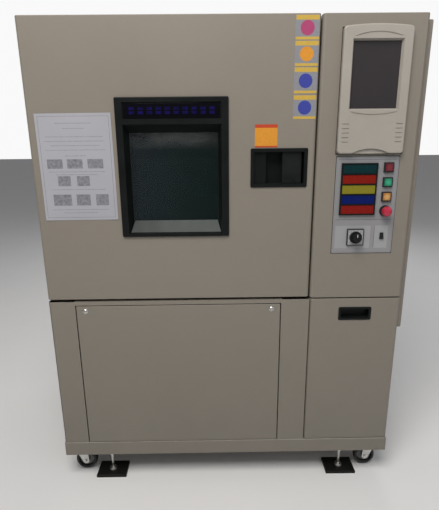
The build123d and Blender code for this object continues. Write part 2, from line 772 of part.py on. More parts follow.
# Door foam: fills the skin around the window, the handle and the hinge cups.
foam_front = front + sheet
with BuildPart() as door_insulation:
    block(grow(pan_x, -0.2), (foam_front + 0.2, skin_back), grow(pan_z, -0.2))
    fillet(door_insulation.faces().sort_by(Axis.Y)[0].edges().filter_by(Axis.Z), front_bend - sheet)
    fillet(door_insulation.faces().sort_by(Axis.Y)[0].edges().filter_by(Axis.X), 1)
    block(about(window_x, hole_width), (foam_front, glass_front), about(window_z, hole_height), Mode.SUBTRACT)
    block(about(window_x, pane_width + 0.4), (foam_front, skin_back), about(glass_middle, pane_height + 0.4),
          Mode.SUBTRACT)
    block(grow(cavity_x, handle_wall + 0.2), (foam_front, tray_back + 0.2), grow(cavity_z, handle_wall + 0.2),
          Mode.SUBTRACT)
    block((handle_x, door_right), about(bolt_y, bolt_size + 1), about(handle_z, bolt_size + 1), Mode.SUBTRACT)
    for z in hinge_z:
        cup = notch_height / 2 + bush_height
        block((left, left + notch + 2.2), (door_back - notch - 2.2, door_back), (z - cup - 0.2, z + cup + 0.2),
              Mode.SUBTRACT)
finish(door_insulation, "door_insulation")

# Door gasket: a hollow-section silicone frame around the plug.
with BuildPart() as door_gasket:
    seal_back = shell_front - seal_clearance
    with BuildSketch(facing(skin_back + sheet)):
        with Locations((door_centre, door_middle)):
            RectangleRounded(test_width + 2 * gasket_width + 16, test_height + 2 * gasket_width + 16, 20)
            RectangleRounded(test_width + 16, test_height + 16, 10, mode=Mode.SUBTRACT)
    extrude(amount=-(seal_back - skin_back - sheet))
    chamfer(door_gasket.faces().sort_by(Axis.Y)[-1].edges(), 3)
finish(door_gasket, "door_gasket")


# Column fascia: a folded pan flush with the door, with openings for the screen unit and the controls.
column_centre = (column_left + right) / 2 + controls_offset
hmi_top = top - hmi_from_top
hmi_bottom = hmi_top - hmi_height
plate_top = hmi_bottom - plate_gap
plate_bottom = plate_top - plate_height
hmi_middle = (hmi_top + hmi_bottom) / 2
plate_middle = (plate_top + plate_bottom) / 2
with BuildPart() as column_fascia:
    block((column_left, right), (front, shell_front), (column_bottom, top))
    fillet(column_fascia.faces().sort_by(Axis.Y)[0].edges().filter_by(Axis.Z), front_bend)
    fillet(column_fascia.faces().sort_by(Axis.Y)[0].edges().filter_by(Axis.X), 2)
    offset(amount=-sheet, openings=column_fascia.faces().sort_by(Axis.Y)[-1])
    with BuildSketch(facing(front)):
        with Locations((column_centre, hmi_middle)):
            RectangleRounded(hmi_width - 14, hmi_height - 20, 1)
        with Locations((column_centre, plate_middle)):
            RectangleRounded(plate_width - 14, plate_height - 14, 1)
    extrude(amount=-sheet, mode=Mode.SUBTRACT)
    # Keeper for the roller bolt, a pressed ridge on the side towards the door
    keeper = door_gap - bolt_reach - 0.8
    with BuildSketch(plan(handle_z - 20)):
        with BuildLine():
            Polyline((column_left, bolt_y - 14), (column_left - keeper, bolt_y - 9),
                     (column_left, bolt_y - 4), close=True)
        make_face()
    extrude(amount=40)
finish(column_fascia, "column_fascia")

# Screen unit: a moulded ivory bezel with a crowned top, a brow, a chin, grip ribs and a finger notch.
bezel_front = front - hmi_proud
screen_z = hmi_top - screen_below_top - screen_height / 2
half = hmi_width / 2
with BuildPart() as hmi_bezel:
    with BuildSketch(facing(front)):
        with BuildLine():
            Line((column_centre - half, hmi_bottom), (column_centre + half, hmi_bottom))
            Line((column_centre + half, hmi_bottom), (column_centre + half, hmi_top - hmi_crown))
            ThreePointArc((column_centre + half, hmi_top - hmi_crown), (column_centre, hmi_top),
                          (column_centre - half, hmi_top - hmi_crown))
            Line((column_centre - half, hmi_top - hmi_crown), (column_centre - half, hmi_bottom))
        make_face()
        fillet(vertices().group_by(Axis.Y)[0] + vertices().group_by(Axis.Y)[-1], 9)
    extrude(amount=hmi_proud)
    fillet(hmi_bezel.faces().sort_by(Axis.Y)[0].edges(), 4)
    # Snap-in body behind the fascia
    block(about(column_centre, hmi_width - 15), (front, front + 26), about(hmi_middle, hmi_height - 21))
    # Screen opening with sloping sides
    with BuildSketch(facing(bezel_front + screen_depth)):
        with Locations((column_centre, screen_z)):
            Rectangle(screen_width, screen_height)
    with BuildSketch(facing(bezel_front)):
        with Locations((column_centre, screen_z)):
            Rectangle(screen_width + 8, screen_height + 8)
    loft(mode=Mode.SUBTRACT)
    block(about(column_centre, screen_width + 6), (bezel_front + screen_depth, front + 28),
          about(screen_z, screen_height + 6), Mode.SUBTRACT)
    # Brow above the screen and chin below it, each a shallow crescent
    brow_z = screen_z + screen_height / 2 + 9
    chin_z = screen_z - screen_height / 2 - 7
    notch_z = hmi_bottom + 14
    with BuildSketch(facing(bezel_front)):
        for level, rise in ((brow_z, 12), (chin_z, -17)):
            with BuildLine():
                ThreePointArc((column_centre - 66, level), (column_centre, level + rise),
                              (column_centre + 66, level))
                ThreePointArc((column_centre + 66, level), (column_centre, level + rise * 0.45),
                              (column_centre - 66, level))
            make_face()
    extrude(amount=-1.5, mode=Mode.SUBTRACT)
    with BuildSketch(facing(bezel_front)):
        with BuildLine():
            ThreePointArc((column_centre - 57, hmi_bottom - 1), (column_centre, notch_z),
                          (column_centre + 57, hmi_bottom - 1))
            Line((column_centre + 57, hmi_bottom - 1), (column_centre - 57, hmi_bottom - 1))
        make_face()
    extrude(amount=-5, mode=Mode.SUBTRACT)
    # Grip ribs
    with BuildSketch(facing(bezel_front)):
        with Locations((column_centre - half + 18, hmi_bottom + 58), (column_centre + half - 18, hmi_bottom + 58)):
            with GridLocations(1, 12, 1, 5):
                SlotOverall(19, 3.6)
    extrude(amount=1)
finish(hmi_bezel, "hmi_bezel")

# Screen: a flat touch panel held in the bezel's rear pocket.
with BuildPart() as hmi_screen:
    block(about(column_centre, screen_width + 5.6), (bezel_front + screen_depth, front + 18),
          about(screen_z, screen_height + 5.6))
finish(hmi_screen, "hmi_screen")

# Control plate: a printed plate with collars for the buttons, the timer's square and the signal opening.
plate_front = front - plate_proud
plate_left = column_centre - plate_width / 2
plate_right = column_centre + plate_width / 2
signal_x = (plate_left + signal_left, plate_left + signal_left + signal_width)
signal_z = (plate_top - signal_top - signal_height, plate_top - signal_top)
button_x = plate_right - button_from_right
button_z = [plate_top - first_button_below_top - number * button_pitch for number in range(4)]
dial_x = plate_left + dial_left
dial_z = plate_bottom + dial_above_bottom
rocker_x = plate_right - rocker_from_right
rocker_y = plate_front + 4
rocker_z = dial_z + 3
socket_back = front + 24
with BuildPart() as control_plate:
    with BuildSketch(facing(front)):
        with Locations((column_centre, plate_middle)):
            RectangleRounded(plate_width, plate_height, 4)
    extrude(amount=plate_proud)
    block(about(column_centre, plate_width - 15), (front, front + plate_thickness), about(plate_middle, plate_height - 15))
    with BuildSketch(facing(plate_front)):
        with Locations((dial_x, dial_z)):
            RectangleRounded(dial_plate_size, dial_plate_size, 3)
        with Locations(*[(button_x, z) for z in button_z[:3]]):
            RectangleRounded(button_collar, button_collar, 2)
        with Locations((button_x, button_z[3])):
            Circle(stop_radius + 1)
    extrude(amount=5)
    # Sockets behind the plate that guide each control
    with BuildSketch(facing(front + plate_thickness)):
        with Locations(*[(button_x, z) for z in button_z]):
            Circle(15)
        with Locations((dial_x, dial_z)):
            Circle(15)
        with Locations((rocker_x, rocker_z)):
            Rectangle(rocker_width + 4, rocker_height + 4)
    extrude(amount=-(socket_back - front - plate_thickness))
    for z in button_z[:3]:
        block(about(button_x, button_size), (plate_front - 6, socket_back - 4), about(z, button_size), Mode.SUBTRACT)
    rod((button_x, plate_front - 6, button_z[3]), (button_x, socket_back - 4, button_z[3]), 8, Mode.SUBTRACT)
    rod((dial_x, plate_front - 6, dial_z), (dial_x, socket_back - 4, dial_z), 3 + running, Mode.SUBTRACT)
    block(about(rocker_x, rocker_width), (plate_front - 1, socket_back - 4), about(rocker_z, rocker_height), Mode.SUBTRACT)
    rod((rocker_x - rocker_width / 2 - 1.8, rocker_y, rocker_z), (rocker_x + rocker_width / 2 + 1.8, rocker_y, rocker_z),
        rocker_pin + running, Mode.SUBTRACT)
    block(grow(signal_x, -8), (plate_front - 1, socket_back + 1), grow(signal_z, -8), Mode.SUBTRACT)
finish(control_plate, "control_plate")

# Signal unit: a black frame with a window for each lens, and the coloured lenses behind it.
lens_pitch = (signal_height - lens_border) / lens_count
lens_z = [signal_z[1] - lens_border - (number + 0.5) * lens_pitch + lens_border / 2 for number in range(lens_count)]
lens_x = grow(signal_x, -lens_border)
lens_height = lens_pitch - lens_border
with BuildPart() as signal_frame:
    block(signal_x, (plate_front - signal_proud, plate_front), signal_z)
    fillet(signal_frame.faces().sort_by(Axis.Y)[0].edges(), 1.5)
    block(grow(signal_x, -8.3), (plate_front, front + 30), grow(signal_z, -8.3))
    for z in lens_z:
        block(lens_x, (plate_front - signal_proud - 1, plate_front - 1.5), about(z, lens_height), Mode.SUBTRACT)
finish(signal_frame, "signal_frame")

with BuildPart() as signal_lenses:
    for z in lens_z:
        block(grow(lens_x, -0.2), (plate_front - signal_proud + 1.2, plate_front - 1.5), about(z, lens_height - 0.4))
finish(signal_lenses, "signal_lenses")

# Three illuminated push buttons: a square cap on a square guided stem.
cap = button_size - 2 * control_clearance
for name, z in zip(("power_button", "run_button", "reset_button"), button_z):
    with BuildPart() as push_button:
        block(about(button_x, cap), (plate_front - button_proud, socket_back - 4 - button_travel - 1), about(z, cap))
        fillet(push_button.faces().sort_by(Axis.Y)[0].edges(), 1.5)
    finish(push_button, name)

# Emergency stop: a mushroom head on a round stem.
with BuildPart() as emergency_stop:
    face_y = plate_front - 5
    head_y = plate_front - stop_proud
    rim = stop_radius - 3
    dome_radius = 2 * stop_radius
    rim_y = head_y + dome(dome_radius, rim)
    with BuildSketch(Plane(origin=(button_x, 0, button_z[3]), x_dir=(1, 0, 0), z_dir=(0, 0, 1))):
        with BuildLine():
            Line((0, head_y), (0, socket_back - 4 - stop_travel - 1))
            Line((0, socket_back - 4 - stop_travel - 1), (7.7, socket_back - 4 - stop_travel - 1))
            Line((7.7, socket_back - 4 - stop_travel - 1), (7.7, face_y - stop_travel - 1))
            Line((7.7, face_y - stop_travel - 1), (stop_radius - 1, face_y - stop_travel - 1))
            ThreePointArc((stop_radius - 1, face_y - stop_travel - 1), (stop_radius, face_y - stop_travel - 5),
                          (rim, rim_y))
            ThreePointArc((rim, rim_y), (rim / 2, head_y + dome(dome_radius, rim / 2)),
                          (0, head_y))
        make_face()
    revolve(axis=Axis((button_x, 0, button_z[3]), (0, 1, 0)))
finish(emergency_stop, "emergency_stop")

# Timer knob: a fluted skirt with a pointer bar on a round spindle.
with BuildPart() as timer_knob:
    knob_back = plate_front - 5 - control_clearance
    knob_front = knob_back - knob_proud
    with BuildSketch(facing(knob_back)):
        with Locations((dial_x, dial_z)):
            Circle(knob_radius)
    extrude(amount=6)
    with BuildSketch(facing(knob_back - 6)):
        with Locations((dial_x, dial_z)):
            Circle(knob_radius * 0.72)
    extrude(amount=knob_proud - 6, taper=4)
    with BuildSketch(facing(knob_front)):
        with Locations((dial_x, dial_z)):
            with PolarLocations(knob_radius * 0.72, 12):
                Circle(1.8)
    extrude(amount=-(knob_proud - 7), mode=Mode.SUBTRACT)
    fillet(timer_knob.faces().sort_by(Axis.Y)[0].edges(), 0.4)
    rod((dial_x, knob_back, dial_z), (dial_x, socket_back - 6, dial_z), 3)
finish(timer_knob, "timer_knob")

# Rocker switch: a two-way key, high at its lower end, on two round pivot pins.
with BuildPart() as rocker_switch:
    width = rocker_width - 2 * control_clearance
    reach = rocker_height / 2 - 1
    rod((rocker_x - width / 2 - 1.5, rocker_y, rocker_z), (rocker_x + width / 2 + 1.5, rocker_y, rocker_z), rocker_pin)
    with BuildSketch(Plane(origin=(rocker_x - width / 2, 0, 0), x_dir=(0, 1, 0), z_dir=(1, 0, 0))):
        with BuildLine():
            Polyline((plate_front + 2, rocker_z + reach), (plate_front - 1, rocker_z), (plate_front - 4, rocker_z - reach),
                     (plate_front + 5, rocker_z - reach), (plate_front + 9, rocker_z), (plate_front + 5, rocker_z + reach),
                     close=True)
        make_face()
    extrude(amount=width)
finish(rocker_switch, "rocker_switch")


# Lower front frame: a folded surround flush with the door, with a rebated opening for the service panel.
frame_edge = column_left - 1
opening_x = (left + panel_left, column_left - panel_right)
opening_z = (rail_top, lower_top - panel_below_top)
with BuildPart() as lower_front_frame:
    block((left, frame_edge), (front, shell_front), (rail_top, lower_top))
    fillet(lower_front_frame.faces().sort_by(Axis.Y)[0].edges().filter_by(Axis.Z).sort_by(Axis.X)[0], front_bend)
    offset(amount=-sheet, openings=[lower_front_frame.faces().sort_by(Axis.Y)[-1],
                                    lower_front_frame.faces().sort_by(Axis.Z)[0]])
    block(grow(opening_x, 16), (front, front + panel_depth + sheet), (rail_top, opening_z[1] + 10))
    block(opening_x, (front, front + panel_depth), opening_z, Mode.SUBTRACT)
    block(grow(opening_x, -12), (front, shell_front), (opening_z[0], opening_z[1] - 12), Mode.SUBTRACT)
    block((left + sheet, opening_x[0] - sheet), (front + sheet, front + panel_depth + 4), (rail_top, opening_z[1] + 12),
          Mode.SUBTRACT)
    block((opening_x[1] + sheet, frame_edge - sheet), (front + sheet, front + panel_depth + 4),
          (rail_top, opening_z[1] + 12), Mode.SUBTRACT)
    with BuildSketch(facing(front)):
        with Locations(*[(x, opening_z[1] - screw_inset / 2) for x in grow(opening_x, -screw_inset)]):
            Circle(2.2)
    extrude(amount=-(panel_depth + 6), mode=Mode.SUBTRACT)
finish(lower_front_frame, "lower_front_frame")

# Service panel: a shallow pan with folded edges, held by two screws in cup washers.
with BuildPart() as service_panel:
    block(grow(opening_x, -panel_gap), (front, front + panel_depth), (opening_z[0] + 1, opening_z[1] - panel_gap))
    fillet(service_panel.faces().sort_by(Axis.Y)[0].edges(), 1.4)
    offset(amount=-sheet, openings=service_panel.faces().sort_by(Axis.Y)[-1])
    for x in grow(opening_x, -screw_inset):
        rod((x, front + sheet, opening_z[1] - screw_inset / 2 - 5), (x, front + panel_depth,
            opening_z[1] - screw_inset / 2 - 5), 5)
        rod((x, front - 1, opening_z[1] - screw_inset / 2 - 5), (x, front + panel_depth,
            opening_z[1] - screw_inset / 2 - 5), 2.2, Mode.SUBTRACT)
finish(service_panel, "service_panel")

crown = 6.5
crown_y = front - 1.8 - dome(crown, screw_radius - 2)
with BuildPart() as service_panel_screws:
    for x in grow(opening_x, -screw_inset):
        with BuildSketch(Plane(origin=(x, 0, opening_z[1] - screw_inset / 2 - 5), x_dir=(1, 0, 0), z_dir=(0, 0, 1))):
            with BuildLine():
                Polyline((0, crown_y), (0, front + panel_depth - 1), (2, front + panel_depth - 1), (2, front),
                         (screw_radius + 2, front), (screw_radius, front - 1.6), (screw_radius - 2, front - 1.8))
                ThreePointArc((screw_radius - 2, front - 1.8), ((screw_radius - 2) / 2, crown_y + dome(crown, (screw_radius - 2) / 2)),
                              (0, crown_y))
            make_face()
        revolve(axis=Axis((x, 0, 0), (0, 1, 0)).located(Location((0, 0, opening_z[1] - screw_inset / 2 - 5))))
finish(service_panel_screws, "service_panel_screws")

# Tank drawer: an overlaid front on a carriage with a tray, running on the frame's two rails.
drawer_left = column_left + 2
carriage_x = (bay_left + 2.6, bay_right - 2.6)
pull_x = (drawer_left + right) / 2
pull_z = lower_top - pull_below_top - pull_height / 2
tank_front = front + drawer_thickness + 4
carriage_back = tank_front + tank_length + 6
tray_z = runner_z + 0.3
with BuildPart() as drawer_front:
    block((drawer_left, right), (front, front + drawer_thickness), (rail_top + 1, lower_top))
    fillet(drawer_front.faces().sort_by(Axis.Y)[0].edges().filter_by(Axis.Z), front_bend)
    fillet(drawer_front.faces().sort_by(Axis.Y)[0].edges().filter_by(Axis.X), 2)
    offset(amount=-sheet, openings=drawer_front.faces().sort_by(Axis.Y)[-1])
    block((carriage_x[0], carriage_x[1]), (front + sheet, front + drawer_thickness), (tray_z, tray_z + 60))
    block((carriage_x[0] + 2, carriage_x[1] - 2), (front + sheet, front + drawer_thickness - 2), (tray_z - 1, tray_z + 61),
          Mode.SUBTRACT)
    block(carriage_x, (front + drawer_thickness - 2, carriage_back), (tray_z, tray_z + 2))
    for rail_x in ((carriage_x[0], carriage_x[0] + 2), (carriage_x[1] - 2, carriage_x[1])):
        block(rail_x, (front + drawer_thickness - 2, carriage_back), (tray_z, tray_z + 30))
    block(carriage_x, (carriage_back - 2, carriage_back), (tray_z, tray_z + 30))
    block(about(pull_x, pull_width - 8), (front, front + sheet), about(pull_z, pull_height - 8), Mode.SUBTRACT)
finish(drawer_front, "drawer_front")

# Drawer pull: a black moulded cup set into the drawer front.
with BuildPart() as drawer_pull:
    with BuildSketch(facing(front)):
        with Locations((pull_x, pull_z)):
            RectangleRounded(pull_width, pull_height, 5)
    extrude(amount=1.5)
    block(about(pull_x, pull_width - 9), (front, front + pull_depth), about(pull_z, pull_height - 9))
    with BuildSketch(facing(front - 1.5)):
        with Locations((pull_x, pull_z)):
            RectangleRounded(pull_width - 14, pull_height - 13, 4)
    extrude(amount=-pull_depth, mode=Mode.SUBTRACT)
finish(drawer_pull, "drawer_pull")

# Water tank: a blow-moulded bottle with rounded edges and a filler neck, standing on the tray.
tank_x = about((carriage_x[0] + carriage_x[1]) / 2, tank_width)
tank_z = (tray_z + 2, tray_z + 2 + tank_height)
tank_y = (tank_front, tank_front + tank_length)
with BuildPart() as water_tank:
    block(tank_x, tank_y, tank_z)
    fillet(water_tank.edges().filter_by(Axis.Z), 22)
    fillet(water_tank.faces().sort_by(Axis.Z)[-1].edges(), 14)
    neck = (sum(tank_x) / 2, tank_front + 60)
    rod((*neck, tank_z[1] - 1), (*neck, tank_z[1] + 16), 24)
    rod((*neck, tank_z[1] + 4), (*neck, tank_z[1] + 22), 28)
finish(water_tank, "water_tank")

# Electrical plate: hung on the partition, with rails of switchgear and a wiring duct.
electric_x = (partition + sheet, partition + sheet + 14)
electric_y = (shell_front + 120, back - 160)
electric_z = (lower_top + 60, lower_top + 560)
with BuildPart() as electrical_plate:
    block((electric_x[0], electric_x[1]), electric_y, electric_z)
    block((electric_x[0], electric_x[1] - 2), grow(electric_y, -14), (electric_z[0] - 1, electric_z[1] + 1), Mode.SUBTRACT)
    face_x = electric_x[1]
    for row, sizes in ((60, (90, 45, 45, 45, 45, 70)), (200, (60, 60, 60, 100, 60)), (350, (140, 80, 100))):
        y = electric_y[0] + 20
        for number, length in enumerate(sizes):
            block((face_x, face_x + 60 + 12 * (number % 3)), (y, y + length - 4), (electric_z[0] + row, electric_z[0] + row + 84))
            y += length + 4
    block((face_x, face_x + 40), (electric_y[0] + 10, electric_y[1] - 10), (electric_z[0] + 160, electric_z[0] + 185))
    block((face_x, face_x + 40), (electric_y[0] + 10, electric_y[1] - 10), (electric_z[0] + 300, electric_z[0] + 325))
finish(electrical_plate, "electrical_plate")

# Compressor: a hermetic can on a base plate, standing on the hat rails beside the condenser.
compressor_x = condenser_x + compressor_offset
compressor_y = back - 400
rail_height_top = base + channel + 25
with BuildPart() as compressor:
    block(about(compressor_x, 190), about(compressor_y, 170), (rail_height_top, rail_height_top + 12))
    with BuildSketch(Plane(origin=(compressor_x, compressor_y, 0), x_dir=(1, 0, 0), z_dir=(0, -1, 0))):
        with BuildLine():
            z0 = rail_height_top + 12
            Line((0, z0), (70, z0))
            ThreePointArc((70, z0), (82, z0 + 5), (88, z0 + 22))
            Line((88, z0 + 22), (88, z0 + 95))
            Line((88, z0 + 95), (91, z0 + 98))
            Line((91, z0 + 98), (88, z0 + 101))
            Line((88, z0 + 101), (88, z0 + 160))
            ThreePointArc((88, z0 + 160), (84, z0 + 176), (72, z0 + 190))
            ThreePointArc((72, z0 + 190), (36, z0 + 190 + dome(140, 72) - dome(140, 36)), (0, z0 + 190 + dome(140, 72)))
            Line((0, z0 + 190 + dome(140, 72)), (0, z0))
        make_face()
    revolve(axis=Axis((compressor_x, compressor_y, 0), (0, 0, 1)))
    rod((compressor_x + 80, compressor_y, z0 + 130), (compressor_x + 118, compressor_y, z0 + 130), 7)
    block(about(compressor_x, 60), (compressor_y - 112, compressor_y - 84), (z0 + 60, z0 + 120))
finish(compressor, "compressor")

# Condenser: a fin block with end plates and a fan shroud, standing on the rear hat rail.
block_y = (back - 350, back - 290)
shroud_y = (block_y[1], block_y[1] + 22)
condenser_half = 170
condenser_top = condenser_z + 150
with BuildPart() as condenser:
    for number in range(28):
        x = condenser_x - condenser_half + 6 + number * (2 * condenser_half - 12) / 27
        block(about(x, 1.4), block_y, (rail_height_top + 6, condenser_top))
    for x in (condenser_x - condenser_half, condenser_x + condenser_half):
        block(about(x, 3), (block_y[0], shroud_y[1]), (rail_height_top, condenser_top))
    for tube_z in range(5):
        z = rail_height_top + 40 + tube_z * 60
        rod((condenser_x - condenser_half - 8, sum(block_y) / 2, z),
            (condenser_x + condenser_half + 8, sum(block_y) / 2, z), 6)
    with BuildSketch(facing(shroud_y[1])):
        with Locations((condenser_x, (rail_height_top + condenser_top) / 2)):
            Rectangle(2 * condenser_half + 3, condenser_top - rail_height_top)
            Circle(condenser_fan_radius + 8, mode=Mode.SUBTRACT)
    extrude(amount=2)
    shroud_z = (rail_height_top + condenser_top) / 2
    # Motor on two cross struts inside the shroud ring
    block((condenser_x - condenser_half, condenser_x + condenser_half), (shroud_y[1] - 8, shroud_y[1] - 2),
          about(shroud_z, 10))
    rod((condenser_x, block_y[1] + 2, shroud_z), (condenser_x, shroud_y[1], shroud_z), 30)
    rod((condenser_x, shroud_y[1] - 12, shroud_z), (condenser_x, shroud_y[1], shroud_z), 4 + running, Mode.SUBTRACT)
finish(condenser, "condenser")

# Condenser fan: pitched blades on a hub.
with BuildPart() as condenser_fan:
    hub_y = (shroud_y[1] + 3, shroud_y[1] + 33)
    rod((condenser_x, hub_y[0], shroud_z), (condenser_x, hub_y[1], shroud_z), 26)
    rod((condenser_x, shroud_y[1] - 11, shroud_z), (condenser_x, hub_y[1], shroud_z), 4)
    for number in range(5):
        turn = radians(72 * number)
        pitch = radians(28)
        with BuildSketch(Plane(origin=(condenser_x, sum(hub_y) / 2, shroud_z), x_dir=(cos(turn), 0, sin(turn)),
                               z_dir=(-sin(turn) * sin(pitch), -cos(pitch), cos(turn) * sin(pitch)))):
            with BuildLine():
                Polyline((20, -22), (20, 22), (condenser_fan_radius - 20, 40))
                ThreePointArc((condenser_fan_radius - 20, 40), (condenser_fan_radius - 4, 8),
                              (condenser_fan_radius - 10, -30))
                Line((condenser_fan_radius - 10, -30), (20, -22))
            make_face()
        extrude(amount=1, both=True)
finish(condenser_fan, "condenser_fan")

# Levelling pads on the floor, and the levelling bolts that stand on them.
with BuildPart() as levelling_pads:
    for x in foot_x:
        for y in foot_y:
            block(about(x, pad_width), about(y, pad_depth), (0, pad_thickness))
    fillet(levelling_pads.faces().filter_by(Plane.XY).group_by(Axis.Z)[-1].edges(), 2)
finish(levelling_pads, "levelling_pads")

with BuildPart() as levelling_bolts:
    for x in foot_x:
        for y in foot_y:
            with BuildSketch(plan(pad_thickness)):
                with Locations((x, y)):
                    Circle(13)
            extrude(amount=6, taper=20)
            rod((x, y, pad_thickness + 5), (x, y, base - 8), bolt_radius)
            with BuildSketch(plan(base - 30)):
                with Locations((x, y)):
                    RegularPolygon(9, 6)
            extrude(amount=8)
finish(levelling_bolts, "levelling_bolts")

# Service fittings at the back: water inlet, drain spigot and the cable inlet with its gland nut.
with BuildPart() as rear_fittings:
    for x, z, radius, flange in rear_services:
        rod((x, back, z), (x, back + 4, z), flange)
        rod((x, back - 12, z), (x, back + rear_stand_out, z), radius)
        rod((x, back + 4, z), (x, back + rear_stand_out + 1, z), radius - 2.5, Mode.SUBTRACT)
finish(rear_fittings, "rear_fittings")

# Front casters: each fork swivels on a kingpin under the frame, and its wheel turns on a cross axle.
for name, x, side in (("front_left", front_caster_x[0], 1), ("front_right", front_caster_x[1], -1)):
    wheel_x = x + side * caster_trail
    with BuildPart() as caster_fork:
        rod((x, front_caster_y, base - 6.3), (x, front_caster_y, base - 3.3), 26)
        rod((x, front_caster_y, base - 6.3), (x, front_caster_y, base + channel - 0.3), kingpin_radius)
        for face in (-1, 1):
            inner = front_caster_y + face * fork_span / 2
            with BuildSketch(facing(inner)):
                with BuildLine():
                    Polyline((x - 22, base - 5), (x + 22, base - 5), (wheel_x + 11, axle_z))
                    ThreePointArc((wheel_x + 11, axle_z), (wheel_x, axle_z - 11), (wheel_x - 11, axle_z))
                    Line((wheel_x - 11, axle_z), (x - 22, base - 5))
                make_face()
            extrude(amount=-face * cheek)
        rod((wheel_x, front_caster_y - fork_span / 2 - cheek - 3, axle_z),
            (wheel_x, front_caster_y + fork_span / 2 + cheek + 3, axle_z), axle_radius)
    finish(caster_fork, f"{name}_caster_fork")


def wheel_profile():
    """The half section of a caster wheel: hub, web and a rounded tread, bored for its axle."""
    half_width = wheel_width / 2
    with BuildLine() as outline:
        Polyline((axle_radius + running, -half_width - 1), (axle_radius + 6, -half_width - 1), (axle_radius + 8, -4),
                 (wheel_radius - 12, -4), (wheel_radius - 10, -half_width), (wheel_radius - 4, -half_width))
        ThreePointArc((wheel_radius - 4, -half_width), (wheel_radius, 0), (wheel_radius - 4, half_width))
        Polyline((wheel_radius - 4, half_width), (wheel_radius - 10, half_width), (wheel_radius - 12, 4),
                 (axle_radius + 8, 4), (axle_radius + 6, half_width + 1), (axle_radius + running, half_width + 1),
                 (axle_radius + running, -half_width - 1))
    return outline.line


for name, x, y, across in (("front_left_wheel", front_caster_x[0] + caster_trail, front_caster_y, (0, 1, 0)),
                           ("front_right_wheel", front_caster_x[1] - caster_trail, front_caster_y, (0, 1, 0)),
                           ("rear_left_wheel", rear_caster_x[0], rear_caster_y, (1, 0, 0)),
                           ("rear_right_wheel", rear_caster_x[1], rear_caster_y, (1, 0, 0))):
    with BuildPart() as wheel:
        with BuildSketch(Plane(origin=(x, y, axle_z), x_dir=(0, 0, 1), z_dir=Vector(0, 0, 1).cross(Vector(*across)))):
            add(wheel_profile())
            make_face()
        revolve(axis=Axis((x, y, axle_z), across))
    finish(wheel, name)
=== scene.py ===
import math

import bmesh
import bpy
from mathutils import Matrix, Vector


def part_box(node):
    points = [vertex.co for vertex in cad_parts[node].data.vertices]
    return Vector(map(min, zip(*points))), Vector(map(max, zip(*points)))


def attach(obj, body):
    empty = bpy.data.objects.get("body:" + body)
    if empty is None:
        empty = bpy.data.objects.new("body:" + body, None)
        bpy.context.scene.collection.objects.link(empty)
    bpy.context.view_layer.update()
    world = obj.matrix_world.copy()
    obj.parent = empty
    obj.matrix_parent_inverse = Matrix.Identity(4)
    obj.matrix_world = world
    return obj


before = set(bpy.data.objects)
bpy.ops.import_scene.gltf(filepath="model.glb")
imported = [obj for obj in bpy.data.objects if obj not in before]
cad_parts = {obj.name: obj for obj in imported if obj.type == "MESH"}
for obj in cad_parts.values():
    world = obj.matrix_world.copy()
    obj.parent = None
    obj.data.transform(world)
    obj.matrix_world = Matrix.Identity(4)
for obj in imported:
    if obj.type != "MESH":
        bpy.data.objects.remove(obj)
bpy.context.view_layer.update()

# The view: the camera stands before the cabinet's middle, a third of a metre below its top, and looks
# down a little. Its place and angles were worked out from the photograph's upright and level edges.
skin_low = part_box("door_skin")[0]
fascia_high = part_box("column_fascia")[1]
front, left, top = skin_low.y, skin_low.x, fascia_high.z
camera_from_front = 1.2328
camera_from_left = 0.5168
camera_below_top = 0.3207
pitch, yaw, roll = math.radians(15.009), math.radians(-0.5603), math.radians(-0.5591)
look = (Matrix.Rotation(roll, 3, "Z") @ Matrix.Rotation(pitch, 3, "X") @ Matrix.Rotation(yaw, 3, "Y")
        @ Matrix(((1, 0, 0), (0, 0, -1), (0, 1, 0))))
camera = bpy.data.objects.new("camera", bpy.data.cameras.new("camera"))
bpy.context.scene.collection.objects.link(camera)
camera.data.lens = 30.03
camera.data.sensor_width = 36
camera.rotation_mode = "QUATERNION"
camera.location = (left + camera_from_left, front - camera_from_front, top - camera_below_top)
camera.rotation_quaternion = Matrix((look[0], -look[1], -look[2])).transposed().to_quaternion()
bpy.context.scene.camera = camera
bpy.context.scene.view_settings.view_transform = "Standard"


